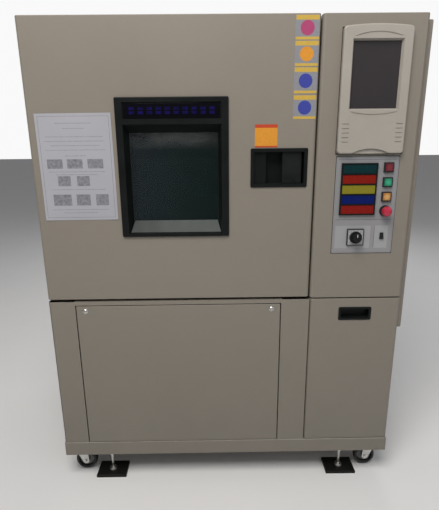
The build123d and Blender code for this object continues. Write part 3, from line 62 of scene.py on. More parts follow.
# The studio: a pale seamless floor under three soft lamps. The camera sees a white room, and the cabinet
# is lit by a dimmer one, so that its dark plastics stay dark.
class Link:
    """A socket in a finish's or the room's nodes. Sums, products and comparisons add Math nodes."""

    def __init__(self, socket):
        self.socket = socket

    def node(self, kind, settings, inputs, output=0):
        """A node beside this link: its type, settings, and values or links for its inputs."""
        tree = self.socket.id_data
        made = tree.nodes.new(kind)
        for name, value in settings.items():
            if name == "stops":
                ramp = made.color_ramp.elements
                while len(ramp) < len(value):
                    ramp.new(0.5)
                for stop, (place, colour) in zip(ramp, value):
                    stop.position = place
                    stop.color = (*colour, 1)
            else:
                setattr(made, name, value)
        for name, value in inputs.items():
            if isinstance(value, Link):
                tree.links.new(value.socket, made.inputs[name])
            else:
                made.inputs[name].default_value = value
        return Link(made.outputs[output])

    def maths(self, operation, *values):
        return self.node("ShaderNodeMath", {"operation": operation}, dict(enumerate(values)))

    def __add__(self, other):
        return self.maths("ADD", self, other)

    __radd__ = __add__

    def __mul__(self, other):
        return self.maths("MULTIPLY", self, other)

    __rmul__ = __mul__

    def __sub__(self, other):
        return self.maths("SUBTRACT", self, other)

    def __rsub__(self, other):
        return self.maths("SUBTRACT", other, self)

    def __gt__(self, other):
        return self.maths("GREATER_THAN", self, other)

    def __lt__(self, other):
        return self.maths("LESS_THAN", self, other)

    def at_least(self, floor):
        return self.maths("MAXIMUM", self, floor)

    def at_most(self, ceiling):
        return self.maths("MINIMUM", self, ceiling)

    def size(self):
        """This value without its sign."""
        return self.maths("ABSOLUTE", self)

    def fraction(self):
        """What this value has over a whole number."""
        return self.maths("FRACT", self)

    def near(self, centre, half):
        """One where this value lies within half of centre, and nought elsewhere."""
        return (self - centre).size() < half

    def part(self, axis):
        """One coordinate of this place: 0, 1 or 2."""
        return self.node("ShaderNodeSeparateXYZ", {}, {0: self}, axis)

    def stretched(self, x, y, z):
        """This place with its coordinates multiplied, for marks that run along one direction."""
        return self.node("ShaderNodeVectorMath", {"operation": "MULTIPLY"}, {0: self, 1: (x, y, z)})

    def noise(self, scale, detail=3.0):
        """Cloudy values about a half, for a scale in features to the metre."""
        return self.node("ShaderNodeTexNoise", {}, {"Vector": self, "Scale": scale, "Detail": detail})

    def blend(self, low, high):
        """The colour between low and high that this value asks for."""
        low, high = [colour if isinstance(colour, Link) else (*colour, 1) for colour in (low, high)]
        return self.node("ShaderNodeMix", {"data_type": "RGBA"}, {0: self, 6: low, 7: high}, 2)


def finish_of(name, colour, roughness=0.5, metallic=0.0, coat=0.0, gloss=0.5):
    """A new surface finish, and the place on the surface in metres that its detail is worked out from."""
    made = bpy.data.materials.new(name)
    made.use_nodes = True
    shader = made.node_tree.nodes["Principled BSDF"]
    shader.inputs["Base Color"].default_value = (*colour, 1)
    shader.inputs["Roughness"].default_value = roughness
    shader.inputs["Metallic"].default_value = metallic
    shader.inputs["Coat Weight"].default_value = coat
    shader.inputs["Specular IOR Level"].default_value = gloss
    return made, Link(made.node_tree.nodes.new("ShaderNodeTexCoord").outputs["Object"])


def feed(finish, socket, value):
    """Send a link to one of a finish's shader sockets."""
    shader = finish.node_tree.nodes["Principled BSDF"]
    finish.node_tree.links.new(value.socket, shader.inputs[socket])


floor_finish, spot = finish_of("floor_finish", (0.82, 0.82, 0.82), 0.8)
feed(floor_finish, "Base Color", spot.noise(3).blend((0.80, 0.80, 0.80), (0.84, 0.84, 0.84)))
floor_reach = 30
floor_mesh = bpy.data.meshes.new("floor")
floor_mesh.from_pydata([(-floor_reach, -floor_reach, 0), (floor_reach, -floor_reach, 0),
                        (floor_reach, floor_reach, 0), (-floor_reach, floor_reach, 0)], [], [(0, 1, 2, 3)])
floor_mesh.materials.append(floor_finish)
floor = bpy.data.objects.new("floor", floor_mesh)
bpy.context.scene.collection.objects.link(floor)

world = bpy.data.worlds.new("room")
bpy.context.scene.world = world
world.use_nodes = True
room = world.node_tree.nodes["Background"]
seen = Link(world.node_tree.nodes.new("ShaderNodeLightPath").outputs["Is Camera Ray"])
white = seen.blend((0.20, 0.20, 0.205), (0.95, 0.95, 0.95))
world.node_tree.links.new(white.socket, room.inputs["Color"])
lamp_aim = Vector((0, 0, 0.85))
for name, place, size, power, warmth in (("key", (-0.5, -1.95, 3.3), 1.5, 80, (1.0, 0.97, 0.93)),
                                         ("fill", (2.4, -2.2, 2.4), 1.8, 13, (0.95, 0.97, 1.0)),
                                         ("back", (0.6, 2.9, 2.7), 2.0, 30, (1.0, 1.0, 1.0))):
    lamp = bpy.data.lights.new(name, "AREA")
    lamp.size = size
    lamp.energy = power
    lamp.color = warmth
    holder = bpy.data.objects.new(name, lamp)
    bpy.context.scene.collection.objects.link(holder)
    holder.location = place
    holder.rotation_mode = "QUATERNION"
    holder.rotation_quaternion = (lamp_aim - Vector(place)).to_track_quat("-Z", "Y")


# Painted sheet steel: the cabinet's folded panels, all in one warm grey powder coat with a fine orange
# peel. Hands and cleaning leave it a little uneven. Painted shade darkens it, mottled, towards the floor,
# and a painted highlight runs along the upper edge of the bottom rail.
def emboss(finish, height, depth):
    """Raise and sink a finish by a height between 0 and 1, over depth metres."""
    bump = height.node("ShaderNodeBump", {}, {"Strength": 1.0, "Distance": depth, "Height": height})
    feed(finish, "Normal", bump)


def clothe(finish, *names):
    """Give CAD pieces a finish."""
    for name in names:
        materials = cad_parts[name].data.materials
        materials.clear()
        materials.append(finish)


shade_below = 0.75
rail_gap, highlight_half = 0.0014, 0.0009
powder, spot = finish_of("powder_coat", (0.30, 0.265, 0.215), 0.42)
cloud = spot.noise(2.2, 4)
# Painted shade: below three quarters of a metre the coat is darkened unevenly, more so nearer the floor.
painted_floor_shade = (shade_below - spot.part(2)).at_least(0.0) * (spot.noise(9, 5) * 0.5 + 0.55)
shade = cloud * 0.55 + spot.noise(38, 3) * 0.25 + 0.1
# Painted highlight: a pale line along the upper edge of the bottom rail, where light catches the ledge.
rail_edge = spot.part(2).near(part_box("drawer_front")[0].z - rail_gap, highlight_half) * (spot.part(1) < front)
painted_rail_highlight = rail_edge * (spot.noise(30, 3) * 1.1)
clean = shade.blend((0.232, 0.206, 0.171), (0.270, 0.242, 0.203))
shaded_low = painted_floor_shade.blend(clean, (0.150, 0.136, 0.112))
feed(powder, "Base Color", painted_rail_highlight.blend(shaded_low, (0.44, 0.42, 0.38)))
feed(powder, "Roughness", cloud * 0.16 + spot.noise(60) * 0.10 + 0.30)
emboss(powder, spot.noise(620, 2) * 0.8 + spot.noise(90, 2) * 0.4, 0.00012)
clothe(powder, "left_side_panel", "right_side_panel", "right_side_cover", "top_panel", "back_panel",
       "lower_front_frame", "service_panel", "column_fascia", "door_skin", "drawer_front", "base_frame")

# Window frame: one black injection moulding with a fine spark-eroded grain, clipped through the door skin.
# The handle tray, the drawer's pull and the signal unit's frame are moulded in the same plastic.
frame_low, frame_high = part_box("window_frame")
glass_low, glass_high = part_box("window_glass")
window_x = (glass_low.x + glass_high.x) / 2
black, spot = finish_of("black_moulding", (0.010, 0.011, 0.011), 0.42, gloss=0.16)
dust = spot.noise(14, 5)
feed(black, "Base Color", (dust * 0.9).blend((0.004, 0.005, 0.005), (0.013, 0.015, 0.015)))
feed(black, "Roughness", dust * 0.25 + 0.28)
emboss(black, spot.noise(1500, 2), 0.00008)
clothe(black, "window_frame", "handle_tray", "drawer_pull", "signal_frame")


# Display strip above the glass: smoked acrylic, pressed into the frame's recess. Behind it stands a row
# of dim blue lamp bars, each parted in two across its middle. Their glow is painted into the acrylic's
# colour, unevenly.
def slab(x, y, z, bevel=0.0):
    """A block between two corners, with its edges rounded where a bevel is given."""
    mesh = bpy.data.meshes.new("slab")
    work = bmesh.new()
    bmesh.ops.create_cube(work, size=1)
    for vertex in work.verts:
        vertex.co = Vector((x[vertex.co.x > 0], y[vertex.co.y > 0], z[vertex.co.z > 0]))
    if bevel:
        bmesh.ops.bevel(work, geom=work.edges[:], offset=bevel, segments=2, affect="EDGES", profile=0.5)
    work.to_mesh(mesh)
    work.free()
    for face in mesh.polygons:
        face.use_smooth = bool(bevel)
    return mesh


def piece(name, mesh, finish, body):
    """Put a finished mesh in the scene as a piece that rides on a body."""
    made = bpy.data.objects.new(name, mesh)
    bpy.context.scene.collection.objects.link(made)
    mesh.materials.append(finish)
    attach(made, body)


display_width, display_height, display_drop = 0.267, 0.039, 0.0357
display_inset, display_thick, display_bevel = 0.0012, 0.0016, 0.0006
display_z = frame_high.z - display_drop
bar_pitch, bar_share, bar_half_height, bar_split = 0.0245, 0.30, 0.0095, 0.0016
row_half = 0.122
smoked, spot = finish_of("smoked_acrylic", (0.006, 0.006, 0.010), 0.2, gloss=0.12)
along_bar = ((spot.part(0) - (window_x - row_half)) * (1 / bar_pitch)).fraction()
bars = along_bar.near(0.5, bar_share) * spot.part(2).near(display_z, bar_half_height)
bars = bars * (1 - spot.part(2).near(display_z, bar_split)) * spot.part(0).near(window_x, row_half)
# Painted glow: the dim blue of the lamp bars, made uneven, is put into the acrylic's colour.
painted_glow = bars * (spot.noise(70, 1) * 1.5 - 0.15)
feed(smoked, "Base Color", painted_glow.blend((0.003, 0.003, 0.005), (0.010, 0.007, 0.095)))
feed(smoked, "Roughness", spot.noise(120) * 0.08 + 0.10)
display_front = frame_low.y + display_inset
piece("display_strip", slab((window_x - display_width / 2, window_x + display_width / 2),
                            (display_front, display_front + display_thick),
                            (display_z - display_height / 2, display_z + display_height / 2), display_bevel),
      smoked, "door")


# Insulating glass: three clear panes, kept apart by dark spacer bars round their edges. A pale soft band
# of painted reflection lies near the top, and the panes look bluer towards the left and greener towards
# the right.
def ring(x, y, z, width):
    """A rectangular frame between two corners, with bars of one width."""
    mesh = bpy.data.meshes.new("ring")
    corners = []
    for depth in y:
        for inset in (0, width):
            corners += [(x[0] + inset, depth, z[0] + inset), (x[1] - inset, depth, z[0] + inset),
                        (x[1] - inset, depth, z[1] - inset), (x[0] + inset, depth, z[1] - inset)]
    faces = []
    for side in range(4):
        after = (side + 1) % 4
        faces.append((side, after, 4 + after, 4 + side))
        faces.append((8 + after, 8 + side, 12 + side, 12 + after))
        faces.append((after, side, 8 + side, 8 + after))
        faces.append((4 + side, 4 + after, 12 + after, 12 + side))
    mesh.from_pydata(corners, [], faces)
    mesh.update()
    return mesh


reflection_drop, reflection_slope = 0.055, 26
tint_offset, tint_slope = 0.06, 2.6
pane, spot = finish_of("window_pane", (0.020, 0.030, 0.036), 0.04, gloss=0.35)
smear = spot.noise(7, 4)
# Painted reflection: a pale, streaky band near the top of the glass, put into its colour and its opacity.
above = (spot.part(2) - (glass_high.z - reflection_drop)) * reflection_slope
painted_reflection = above.at_most(1.0).at_least(0.0) * (spot.stretched(0.5, 1, 1).noise(34, 3) * 2.2 - 0.55)
leftward = (window_x + tint_offset - spot.part(0)) * tint_slope
tinted = leftward.blend((0.012, 0.026, 0.024), (0.046, 0.056, 0.070))
feed(pane, "Base Color", painted_reflection.blend(tinted, (0.17, 0.18, 0.18)))
feed(pane, "Alpha", smear * 0.12 + painted_reflection * 0.20 + 0.22)
feed(pane, "Roughness", smear * 0.06 + 0.02)
clothe(pane, "window_glass")
pane_pitch, pane_thick = 0.016, 0.004
spacer_width, spacer_inset, spacer_play = 0.008, 0.001, 0.0001
spacer, spot = finish_of("spacer_bar", (0.030, 0.031, 0.033), 0.5)
feed(spacer, "Roughness", spot.noise(200) * 0.2 + 0.4)
for number in range(2):
    pane_back = glass_low.y + number * pane_pitch + pane_thick
    next_pane = glass_low.y + (number + 1) * pane_pitch
    piece(f"spacer_{number + 1}", ring((glass_low.x + spacer_inset, glass_high.x - spacer_inset),
                                       (pane_back + spacer_play, next_pane - spacer_play),
                                       (glass_low.z + spacer_inset, glass_high.z - spacer_inset),
                                       spacer_width), spacer, "door")

# Sill: a folded stainless strip on the frame's sloping lower edge, where drips from the glass run off. It
# narrows towards the glass with the frame's opening. Its colour is painted far darker than the liner's
# stainless, as shade, and grows paler towards the right as painted light.
sill_thick, sill_rise, sill_play = 0.0007, 0.033, 0.003
sill_from_frame, sill_from_glass = 0.010, 0.0006
sill_over_frame, lip_rise = 0.0093, 0.007
opening_half, glass_half = 0.1360 - sill_play, 0.1265 - sill_play
sill_front, sill_back = frame_low.y + sill_from_frame, glass_low.y - sill_from_glass
rear_sill = frame_low.z + sill_over_frame + sill_rise
front_sill = (frame_low.z + sill_over_frame
              + lip_rise * (sill_front - frame_low.y) / (glass_low.y - frame_low.y))
sill_finish, spot = finish_of("sill_stainless", (0.42, 0.44, 0.43), 0.6, 0.3, gloss=0.2)
# Brushed streaks, with painted light growing towards the right.
streaks_and_sill_light = spot.stretched(1, 0.4, 0.4).noise(16, 4) * 0.9 + (spot.part(0) - window_x) * 2.2
feed(sill_finish, "Base Color", streaks_and_sill_light.blend((0.022, 0.026, 0.025), (0.105, 0.118, 0.112)))
feed(sill_finish, "Roughness", streaks_and_sill_light * 0.2 + 0.5)
corners = []
for lift in (0, sill_thick):
    corners += [(window_x - opening_half, sill_front, front_sill + lift),
                (window_x + opening_half, sill_front, front_sill + lift),
                (window_x + glass_half, sill_back, rear_sill + lift),
                (window_x - glass_half, sill_back, rear_sill + lift)]
mesh = bpy.data.meshes.new("sill")
mesh.from_pydata(corners, [], [(3, 2, 1, 0), (4, 5, 6, 7), (0, 1, 5, 4), (1, 2, 6, 5), (2, 3, 7, 6),
                               (3, 0, 4, 7)])
piece("window_sill", mesh, sill_finish, "door")

# Test space: liner, baffle, shelves and probes of brushed stainless sheet and rod, welded and left bare.
# The door's inner pan and the well that lines the window's way through the door are folded from it too.
well_width, well_play, well_lip = 0.0107, 0.0002, 0.0015
brushed, spot = finish_of("brushed_stainless", (0.46, 0.46, 0.45), 0.30, 1.0)
grain = spot.stretched(1, 1, 60).noise(22, 4)
feed(brushed, "Base Color", spot.noise(5).blend((0.40, 0.40, 0.39), (0.52, 0.52, 0.51)))
feed(brushed, "Roughness", grain * 0.22 + 0.22)
emboss(brushed, grain, 0.00006)
clothe(brushed, "inner_liner", "air_baffle", "door_inner_pan", "shelf_uprights", "cable_port_sleeve",
       "steam_humidifier", "sensor_probes", "wire_shelves")
piece("window_well", ring((glass_low.x + well_play, glass_high.x - well_play),
                          (glass_high.y + well_play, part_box("door_inner_pan")[1].y + well_lip),
                          (glass_low.z + well_play, glass_high.z - well_play), well_width),
      brushed, "door")

# Door handle: a paddle of satin black plastic in the flush tray, pulled out by its left edge and rubbed
# by hands. The timer's knob, the rocker and the condenser's fan are moulded in the same plastic.
satin_black, spot = finish_of("satin_black", (0.016, 0.017, 0.018), 0.34, gloss=0.22)
rubbed = spot.noise(26, 4)
feed(satin_black, "Base Color", rubbed.blend((0.005, 0.006, 0.006), (0.018, 0.019, 0.020)))
feed(satin_black, "Roughness", rubbed * 0.3 + 0.2)
emboss(satin_black, spot.noise(1300, 2), 0.00006)
clothe(satin_black, "handle_paddle", "timer_knob", "rocker_switch", "condenser_fan")

# Door gasket: a hollow frame of pale silicone rubber round the plug on the door's inner side. It is dull,
# and a little uneven where it has been squeezed.
silicone, spot = finish_of("silicone", (0.52, 0.52, 0.50), 0.55)
feed(silicone, "Base Color", spot.noise(18).blend((0.46, 0.46, 0.44), (0.58, 0.58, 0.56)))
emboss(silicone, spot.noise(500), 0.0001)
clothe(silicone, "door_gasket")

# Insulation: boards of yellowish rigid foam with small cells, cut to fit round the test space and inside
# the door.
foam, spot = finish_of("foam", (0.62, 0.54, 0.34), 0.85)
cells = spot.node("ShaderNodeTexVoronoi", {}, {"Vector": spot, "Scale": 420.0})
feed(foam, "Base Color", spot.noise(12).blend((0.55, 0.47, 0.28), (0.68, 0.60, 0.40)))
emboss(foam, cells, 0.0004)
clothe(foam, "chamber_insulation", "door_insulation")

# Zinc-plated pieces: hinges, roller bolt, panel screws, levelling bolts, caster forks and the fittings at
# the back. The plating is bright, with duller spots where it has tarnished.
zinc, spot = finish_of("bright_zinc", (0.60, 0.60, 0.58), 0.25, 1.0)
tarnish = spot.noise(70, 4)
feed(zinc, "Base Color", tarnish.blend((0.42, 0.41, 0.39), (0.72, 0.72, 0.70)))
feed(zinc, "Roughness", tarnish * 0.3 + 0.15)
clothe(zinc, "hinge_brackets", "latch_bolt", "service_panel_screws", "levelling_bolts", "rear_fittings",
       "front_left_caster_fork", "front_right_caster_fork")

# Screen unit: a moulded ivory bezel, satin with a fine grain, with painted shade in short lines under its
# grip ribs low on both sides. It holds a dark glossy screen, and round the bezel a thin black strip stands
# for the shade in the gap between the bezel and the fascia.
bezel_low, bezel_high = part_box("hmi_bezel")
bezel_x = (bezel_low.x + bezel_high.x) / 2
rib_shade_foot, rib_pitch, rib_shade_share = 0.0316, 0.012, 0.10
rib_shade_out, rib_shade_half_length = 0.0745, 0.0095
rib_shades_rise, rib_shades_half_height = 0.0585, 0.0285
ivory, spot = finish_of("ivory_moulding", (0.46, 0.42, 0.36), 0.38)
# Painted shade: dark lines under each of the bezel's grip ribs, low on both sides.
along_ribs = ((spot.part(2) - (bezel_low.z + rib_shade_foot)) * (1 / rib_pitch)).fraction()
rib_shade = (along_ribs.near(0.0, rib_shade_share)
          * (spot.part(0) - bezel_x).size().near(rib_shade_out, rib_shade_half_length)
          * spot.part(2).near(bezel_low.z + rib_shades_rise, rib_shades_half_height))
satin = spot.noise(9, 3).blend((0.36, 0.33, 0.29), (0.43, 0.40, 0.355))
feed(ivory, "Base Color", (rib_shade * 0.75).blend(satin, (0.12, 0.11, 0.10)))
feed(ivory, "Roughness", spot.noise(80) * 0.12 + 0.30)
emboss(ivory, spot.noise(1400, 2), 0.00006)
clothe(ivory, "hmi_bezel")
dark_screen, spot = finish_of("dark_screen", (0.030, 0.026, 0.028), 0.22, coat=0.3)
feed(dark_screen, "Base Color", spot.noise(4).blend((0.026, 0.023, 0.025), (0.044, 0.038, 0.041)))
feed(dark_screen, "Roughness", spot.noise(30) * 0.12 + 0.16)
clothe(dark_screen, "hmi_screen")
hair = 0.00002
# Painted shade: a thin black strip round the bezel, a hair off the fascia, stands for the shade in the gap.
bezel_strip_out, bezel_arch, bezel_strip_width, bezel_strip_thick = 0.0018, 0.0055, 0.0024, 0.0012
edge_shade_strip, spot = finish_of("edge_shade_strip", (0.020, 0.020, 0.020), 0.7)
feed(edge_shade_strip, "Roughness", spot.noise(200) * 0.2 + 0.6)
piece("bezel_shade_strip", ring((bezel_low.x - bezel_strip_out, bezel_high.x + bezel_strip_out),
                         (front - bezel_strip_thick, front - hair),
                         (bezel_low.z - bezel_strip_out, bezel_high.z - bezel_arch), bezel_strip_width),
      edge_shade_strip, "cabinet")


# Control plate: a screen-printed aluminium plate, edged by a thin black strip that stands for the shade
# round it. Black collars lie round the buttons, and fine printed rules and paler fields part the signal
# unit, the buttons and the timer.
def printed_box(spot, centre_x, centre_z, half_x, half_z):
    """One inside a printed rectangle, and nought round it."""
    return spot.part(0).near(centre_x, half_x) * spot.part(2).near(centre_z, half_z)


plate_low, plate_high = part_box("control_plate")
knob_low, knob_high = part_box("timer_knob")
plate_x, plate_z = (plate_low.x + plate_high.x) / 2, (plate_low.z + plate_high.z) / 2
knob_x, knob_z = (knob_low.x + knob_high.x) / 2, (knob_low.z + knob_high.z) / 2
rocker_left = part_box("rocker_switch")[0].x
# Painted shade: a thin black strip round the control plate, a hair off the fascia.
plate_strip_out, plate_strip_width, plate_strip_thick = 0.0014, 0.002, 0.0009
piece("plate_shade_strip", ring((plate_low.x - plate_strip_out, plate_high.x + plate_strip_out),
                         (front - plate_strip_thick, front - hair),
                         (plate_low.z - plate_strip_out, plate_high.z + plate_strip_out), plate_strip_width),
      edge_shade_strip, "cabinet")
printed, spot = finish_of("printed_plate", (0.40, 0.40, 0.42), 0.40)
stop_low, stop_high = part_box("emergency_stop")
stop_collar, button_collar = 0.0165, 0.0142
across = spot.part(0) - (stop_low.x + stop_high.x) / 2
rise = spot.part(2) - (stop_low.z + stop_high.z) / 2
collars = (across * across + rise * rise) < stop_collar ** 2
for button in ("power_button", "run_button", "reset_button"):
    low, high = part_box(button)
    middle = (low + high) / 2
    collars = collars + printed_box(spot, middle.x, middle.z, button_collar, button_collar)
upper_rule, lower_rule = plate_high.z - 0.0085, plate_high.z - 0.181
rule_half_length, rule_half, fine_half = 0.083, 0.0005, 0.0004
divider_x, divider_half_height = rocker_left - 0.016, 0.031
rules = (printed_box(spot, plate_x, upper_rule, rule_half_length, fine_half)
         + printed_box(spot, plate_x, lower_rule, rule_half_length, rule_half)
         + printed_box(spot, divider_x, knob_z, fine_half, divider_half_height))
border_x, border_z, border_width = 0.0862, 0.1375, 0.0006
border = (printed_box(spot, plate_x, plate_z, border_x + border_width, border_z + border_width)
          * (1 - printed_box(spot, plate_x, plate_z, border_x, border_z)))
square, square_width = 0.0252, 0.003
dial_frame = (printed_box(spot, knob_x, knob_z, square, square)
              * (1 - printed_box(spot, knob_x, knob_z, square - square_width, square - square_width)))
field_half_height = 0.034
timer_field_x, timer_field_half = knob_x - 0.0075, 0.052
rocker_field_x, rocker_field_half = rocker_left + 0.0055, 0.0195
fields = (printed_box(spot, timer_field_x, knob_z, timer_field_half, field_half_height)
          + printed_box(spot, rocker_field_x, knob_z, rocker_field_half, field_half_height))
plain = (spot.noise(6) * 0.45 + fields * 0.6).blend((0.255, 0.252, 0.262), (0.370, 0.368, 0.378))
ruled = (rules + border * 0.5).blend(plain, (0.06, 0.06, 0.08))
framed = dial_frame.blend(ruled, (0.02, 0.02, 0.02))
feed(printed, "Base Color", collars.at_most(1.0).blend(framed, (0.018, 0.018, 0.019)))
feed(printed, "Roughness", spot.noise(40) * 0.14 + 0.32)
clothe(printed, "control_plate")

# Signal lenses: five tinted acrylic covers over unlit lamps, each set in its own window of the black
# frame. From the top they are teal, red, yellow, blue and red.
lens_low, lens_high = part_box("signal_lenses")
lens, spot = finish_of("tinted_lenses", (0.5, 0.1, 0.1), 0.26, gloss=0.2)
height = (spot.part(2) - lens_low.z) * (1 / (lens_high.z - lens_low.z))
bands = height.node("ShaderNodeValToRGB", {"stops": [
    (0.0, (0.23, 0.010, 0.007)), (0.197, (0.003, 0.011, 0.12)), (0.398, (0.24, 0.21, 0.020)),
    (0.602, (0.23, 0.012, 0.006)), (0.803, (0.004, 0.030, 0.033))]}, {0: height})
bands.socket.node.color_ramp.interpolation = "CONSTANT"
depth_of_tint = spot.noise(24, 3)
shading = depth_of_tint.blend((0.7, 0.7, 0.7), (1, 1, 1))
shaded = bands.node("ShaderNodeMix", {"data_type": "RGBA", "blend_type": "MULTIPLY"},
                    {0: 0.25, 6: bands, 7: shading}, 2)
feed(lens, "Base Color", shaded)
feed(lens, "Roughness", spot.noise(90) * 0.12 + 0.20)
clothe(lens, "signal_lenses")

# Push buttons and the emergency stop: moulded caps, each in a colour of its own. Light is painted into
# each cap's colour, paler in the middle.
for name, dark, painted_light_tint, cap in (("dark_red_cap", (0.11, 0.012, 0.018), (0.22, 0.03, 0.04), "power_button"),
                              ("green_cap", (0.012, 0.17, 0.085), (0.05, 0.42, 0.25), "run_button"),
                              ("amber_cap", (0.36, 0.15, 0.03), (0.72, 0.42, 0.16), "reset_button"),
                              ("stop_red", (0.38, 0.012, 0.035), (0.52, 0.03, 0.07), "emergency_stop")):
    low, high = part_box(cap)
    tint, spot = finish_of(name, dark, 0.30, coat=0.3)
    across = (spot.part(0) - (low.x + high.x) / 2) * (2 / (high.x - low.x))
    rise = (spot.part(2) - (low.z + high.z) / 2) * (2 / (high.z - low.z))
    # Painted light: each cap grows paler towards its middle.
    centre = (1 - across * across - rise * rise).at_least(0.0)
    feed(tint, "Base Color", (centre * 0.8 + spot.noise(300) * 0.15).blend(dark, painted_light_tint))
    feed(tint, "Roughness", spot.noise(150) * 0.12 + 0.24)
    clothe(tint, cap)

# Timer dial: eleven white ticks printed on the plate round the knob, every fifth one longer, and a white
# line on the knob's face that points at them.
tick_count, tick_sweep, first_tick = 11, 300, -150
tick_start, tick_end, long_tick_end = 0.0188, 0.0215, 0.0228
tick_half_width, tick_proud, tick_thick = 0.0005, 0.0002, 0.00015
tick_white, spot = finish_of("tick_white", (0.78, 0.78, 0.76), 0.5)
feed(tick_white, "Roughness", spot.noise(300) * 0.2 + 0.4)
dial_middle = Vector((knob_x, plate_low.y - tick_proud, knob_z))
for tick in range(tick_count):
    turn = math.radians(first_tick + tick_sweep * tick / (tick_count - 1))
    inner_end, outer_end = tick_start, tick_end if tick % 5 else long_tick_end
    outward = Vector((math.cos(turn), 0, math.sin(turn)))
    side = Vector((-math.sin(turn), 0, math.cos(turn))) * tick_half_width
    face = [dial_middle + outward * inner_end - side, dial_middle + outward * outer_end - side,
            dial_middle + outward * outer_end + side, dial_middle + outward * inner_end + side]
    mesh = bpy.data.meshes.new("tick")
    mesh.from_pydata([*face, *[point + Vector((0, tick_thick, 0)) for point in face]], [],
                     [(0, 1, 2, 3), (7, 6, 5, 4), (0, 4, 5, 1), (1, 5, 6, 2), (2, 6, 7, 3), (3, 7, 4, 0)])
    piece(f"dial_tick_{tick + 1:02d}", mesh, tick_white, "cabinet")
pointer_half_width, pointer_start, pointer_end = 0.0008, 0.003, 0.012
pointer_proud, pointer_sunk, pointer_bevel = 0.0004, 0.0006, 0.0003
piece("knob_pointer", slab((knob_x - pointer_half_width, knob_x + pointer_half_width),
                           (knob_low.y - pointer_proud, knob_low.y + pointer_sunk),
                           (knob_z + pointer_start, knob_z + pointer_end), pointer_bevel),
      tick_white, "timer")


# Stickers on the door: four blank squares of silver film with amber bands and a plain coloured disc, one
# above the other by the column, and an orange one with red edges over the handle.
def ink_of(name, colour):
    """A printing ink, a little uneven."""
    made, spot = finish_of(name, colour, 0.4)
    feed(made, "Base Color", spot.noise(160, 3).blend([c * 0.86 for c in colour], [c * 1.08 for c in colour]))
    return made


def sticker(name, x, z, film, marks):
    """A thin label on the door: its film, and each mark's ink and outline a hair above it."""
    film_front = front - 0.00025
    mark_front, next_mark = front - 0.00030, 0.00001
    mesh = slab(x, (film_front, front - hair), z)
    piece(name, mesh, film, "door")
    work = bmesh.new()
    work.from_mesh(mesh)
    for number, (ink, outline) in enumerate(marks):
        mesh.materials.append(ink)
        mark_y = mark_front - number * next_mark
        face = work.faces.new([work.verts.new((mark_x, mark_y, mark_z)) for mark_x, mark_z in outline])
        face.material_index = number + 1
        if face.normal.y > 0:
            face.normal_flip()
    work.normal_update()
    work.to_mesh(mesh)
    work.free()


def patch(x, z):
    """The corners of a printed rectangle."""
    return [(x[0], z[0]), (x[1], z[0]), (x[1], z[1]), (x[0], z[1])]


def disc(x, z, radius):
    """The outline of a printed disc."""
    turns = [step * math.pi / 20 for step in range(40)]
    return [(x + radius * math.cos(turn), z + radius * math.sin(turn)) for turn in turns]


silver_film = ink_of("silver_film", (0.26, 0.265, 0.29))
amber_ink = ink_of("amber_ink", (0.60, 0.40, 0.07))
magenta_ink = ink_of("magenta_ink", (0.42, 0.06, 0.16))
orange_ink = ink_of("orange_ink", (0.72, 0.30, 0.03))
blue_ink = ink_of("blue_ink", (0.045, 0.06, 0.34))
red_ink = ink_of("red_ink", (0.55, 0.06, 0.02))
body_height = 1.35
body_foot = top - body_height
film_x = (left + 0.735, left + 0.7985)
margin, upper_band, lower_band, disc_radius, disc_drop = 0.001, 0.0125, 0.008, 0.0185, 0.001
band_x = (film_x[0] + margin, film_x[1] - margin)
for number, (low, high, ink) in enumerate(((1.2855, 1.3465, magenta_ink), (1.2206, 1.2845, orange_ink),
                                           (1.1516, 1.2193, blue_ink), (1.0847, 1.1486, blue_ink))):
    foot, head = body_foot + low, body_foot + high
    sticker(f"sticker_{number + 1}", film_x, (foot, head), silver_film,
            [(amber_ink, patch(band_x, (head - upper_band, head - margin))),
             (amber_ink, patch(band_x, (foot + margin, foot + lower_band))),
             (ink, disc((film_x[0] + film_x[1]) / 2, (foot + head) / 2 - disc_drop, disc_radius))])
orange_x = (left + 0.631, left + 0.694)
foot, head = body_foot + 1.0105, body_foot + 1.0724
upper_edge, lower_edge = 0.009, 0.004
sticker("orange_sticker", orange_x, (foot, head), orange_ink,
        [(red_ink, patch(orange_x, (head - upper_edge, head))),
         (red_ink, patch(orange_x, (foot, foot + lower_edge)))])

# Job sheet: a sheet of A4 paper stuck to the door, printed with a border, ruled lines and grey blocks. It
# hangs a little askew, and its corners curl off the steel.
sheet_width, sheet_height = 0.210, 0.297
sheet_x, sheet_z = left + 0.1288, body_foot + 0.9584
paper, spot = finish_of("paper", (0.62, 0.62, 0.66), 0.75)
ink = (printed_box(spot, sheet_x, sheet_z, 0.098, 0.141)
       - printed_box(spot, sheet_x, sheet_z, 0.0972, 0.1402))
blotches = spot.noise(130, 3) * 1.3 + 0.1
for block_x, block_z, half_x, half_z in ((-0.062, 0.012, 0.022, 0.013), (-0.006, 0.012, 0.022, 0.013),
                                         (0.052, 0.012, 0.022, 0.013), (-0.040, -0.036, 0.018, 0.014),
                                         (0.014, -0.036, 0.018, 0.014), (-0.050, -0.090, 0.026, 0.016),
                                         (0.010, -0.090, 0.020, 0.016), (0.064, -0.090, 0.018, 0.016)):
    ink = ink + printed_box(spot, sheet_x + block_x, sheet_z + block_z, half_x, half_z) * blotches
line_x, line_half = -0.002, 0.0011
broken = (spot.noise(700, 2) > 0.46) * 0.55
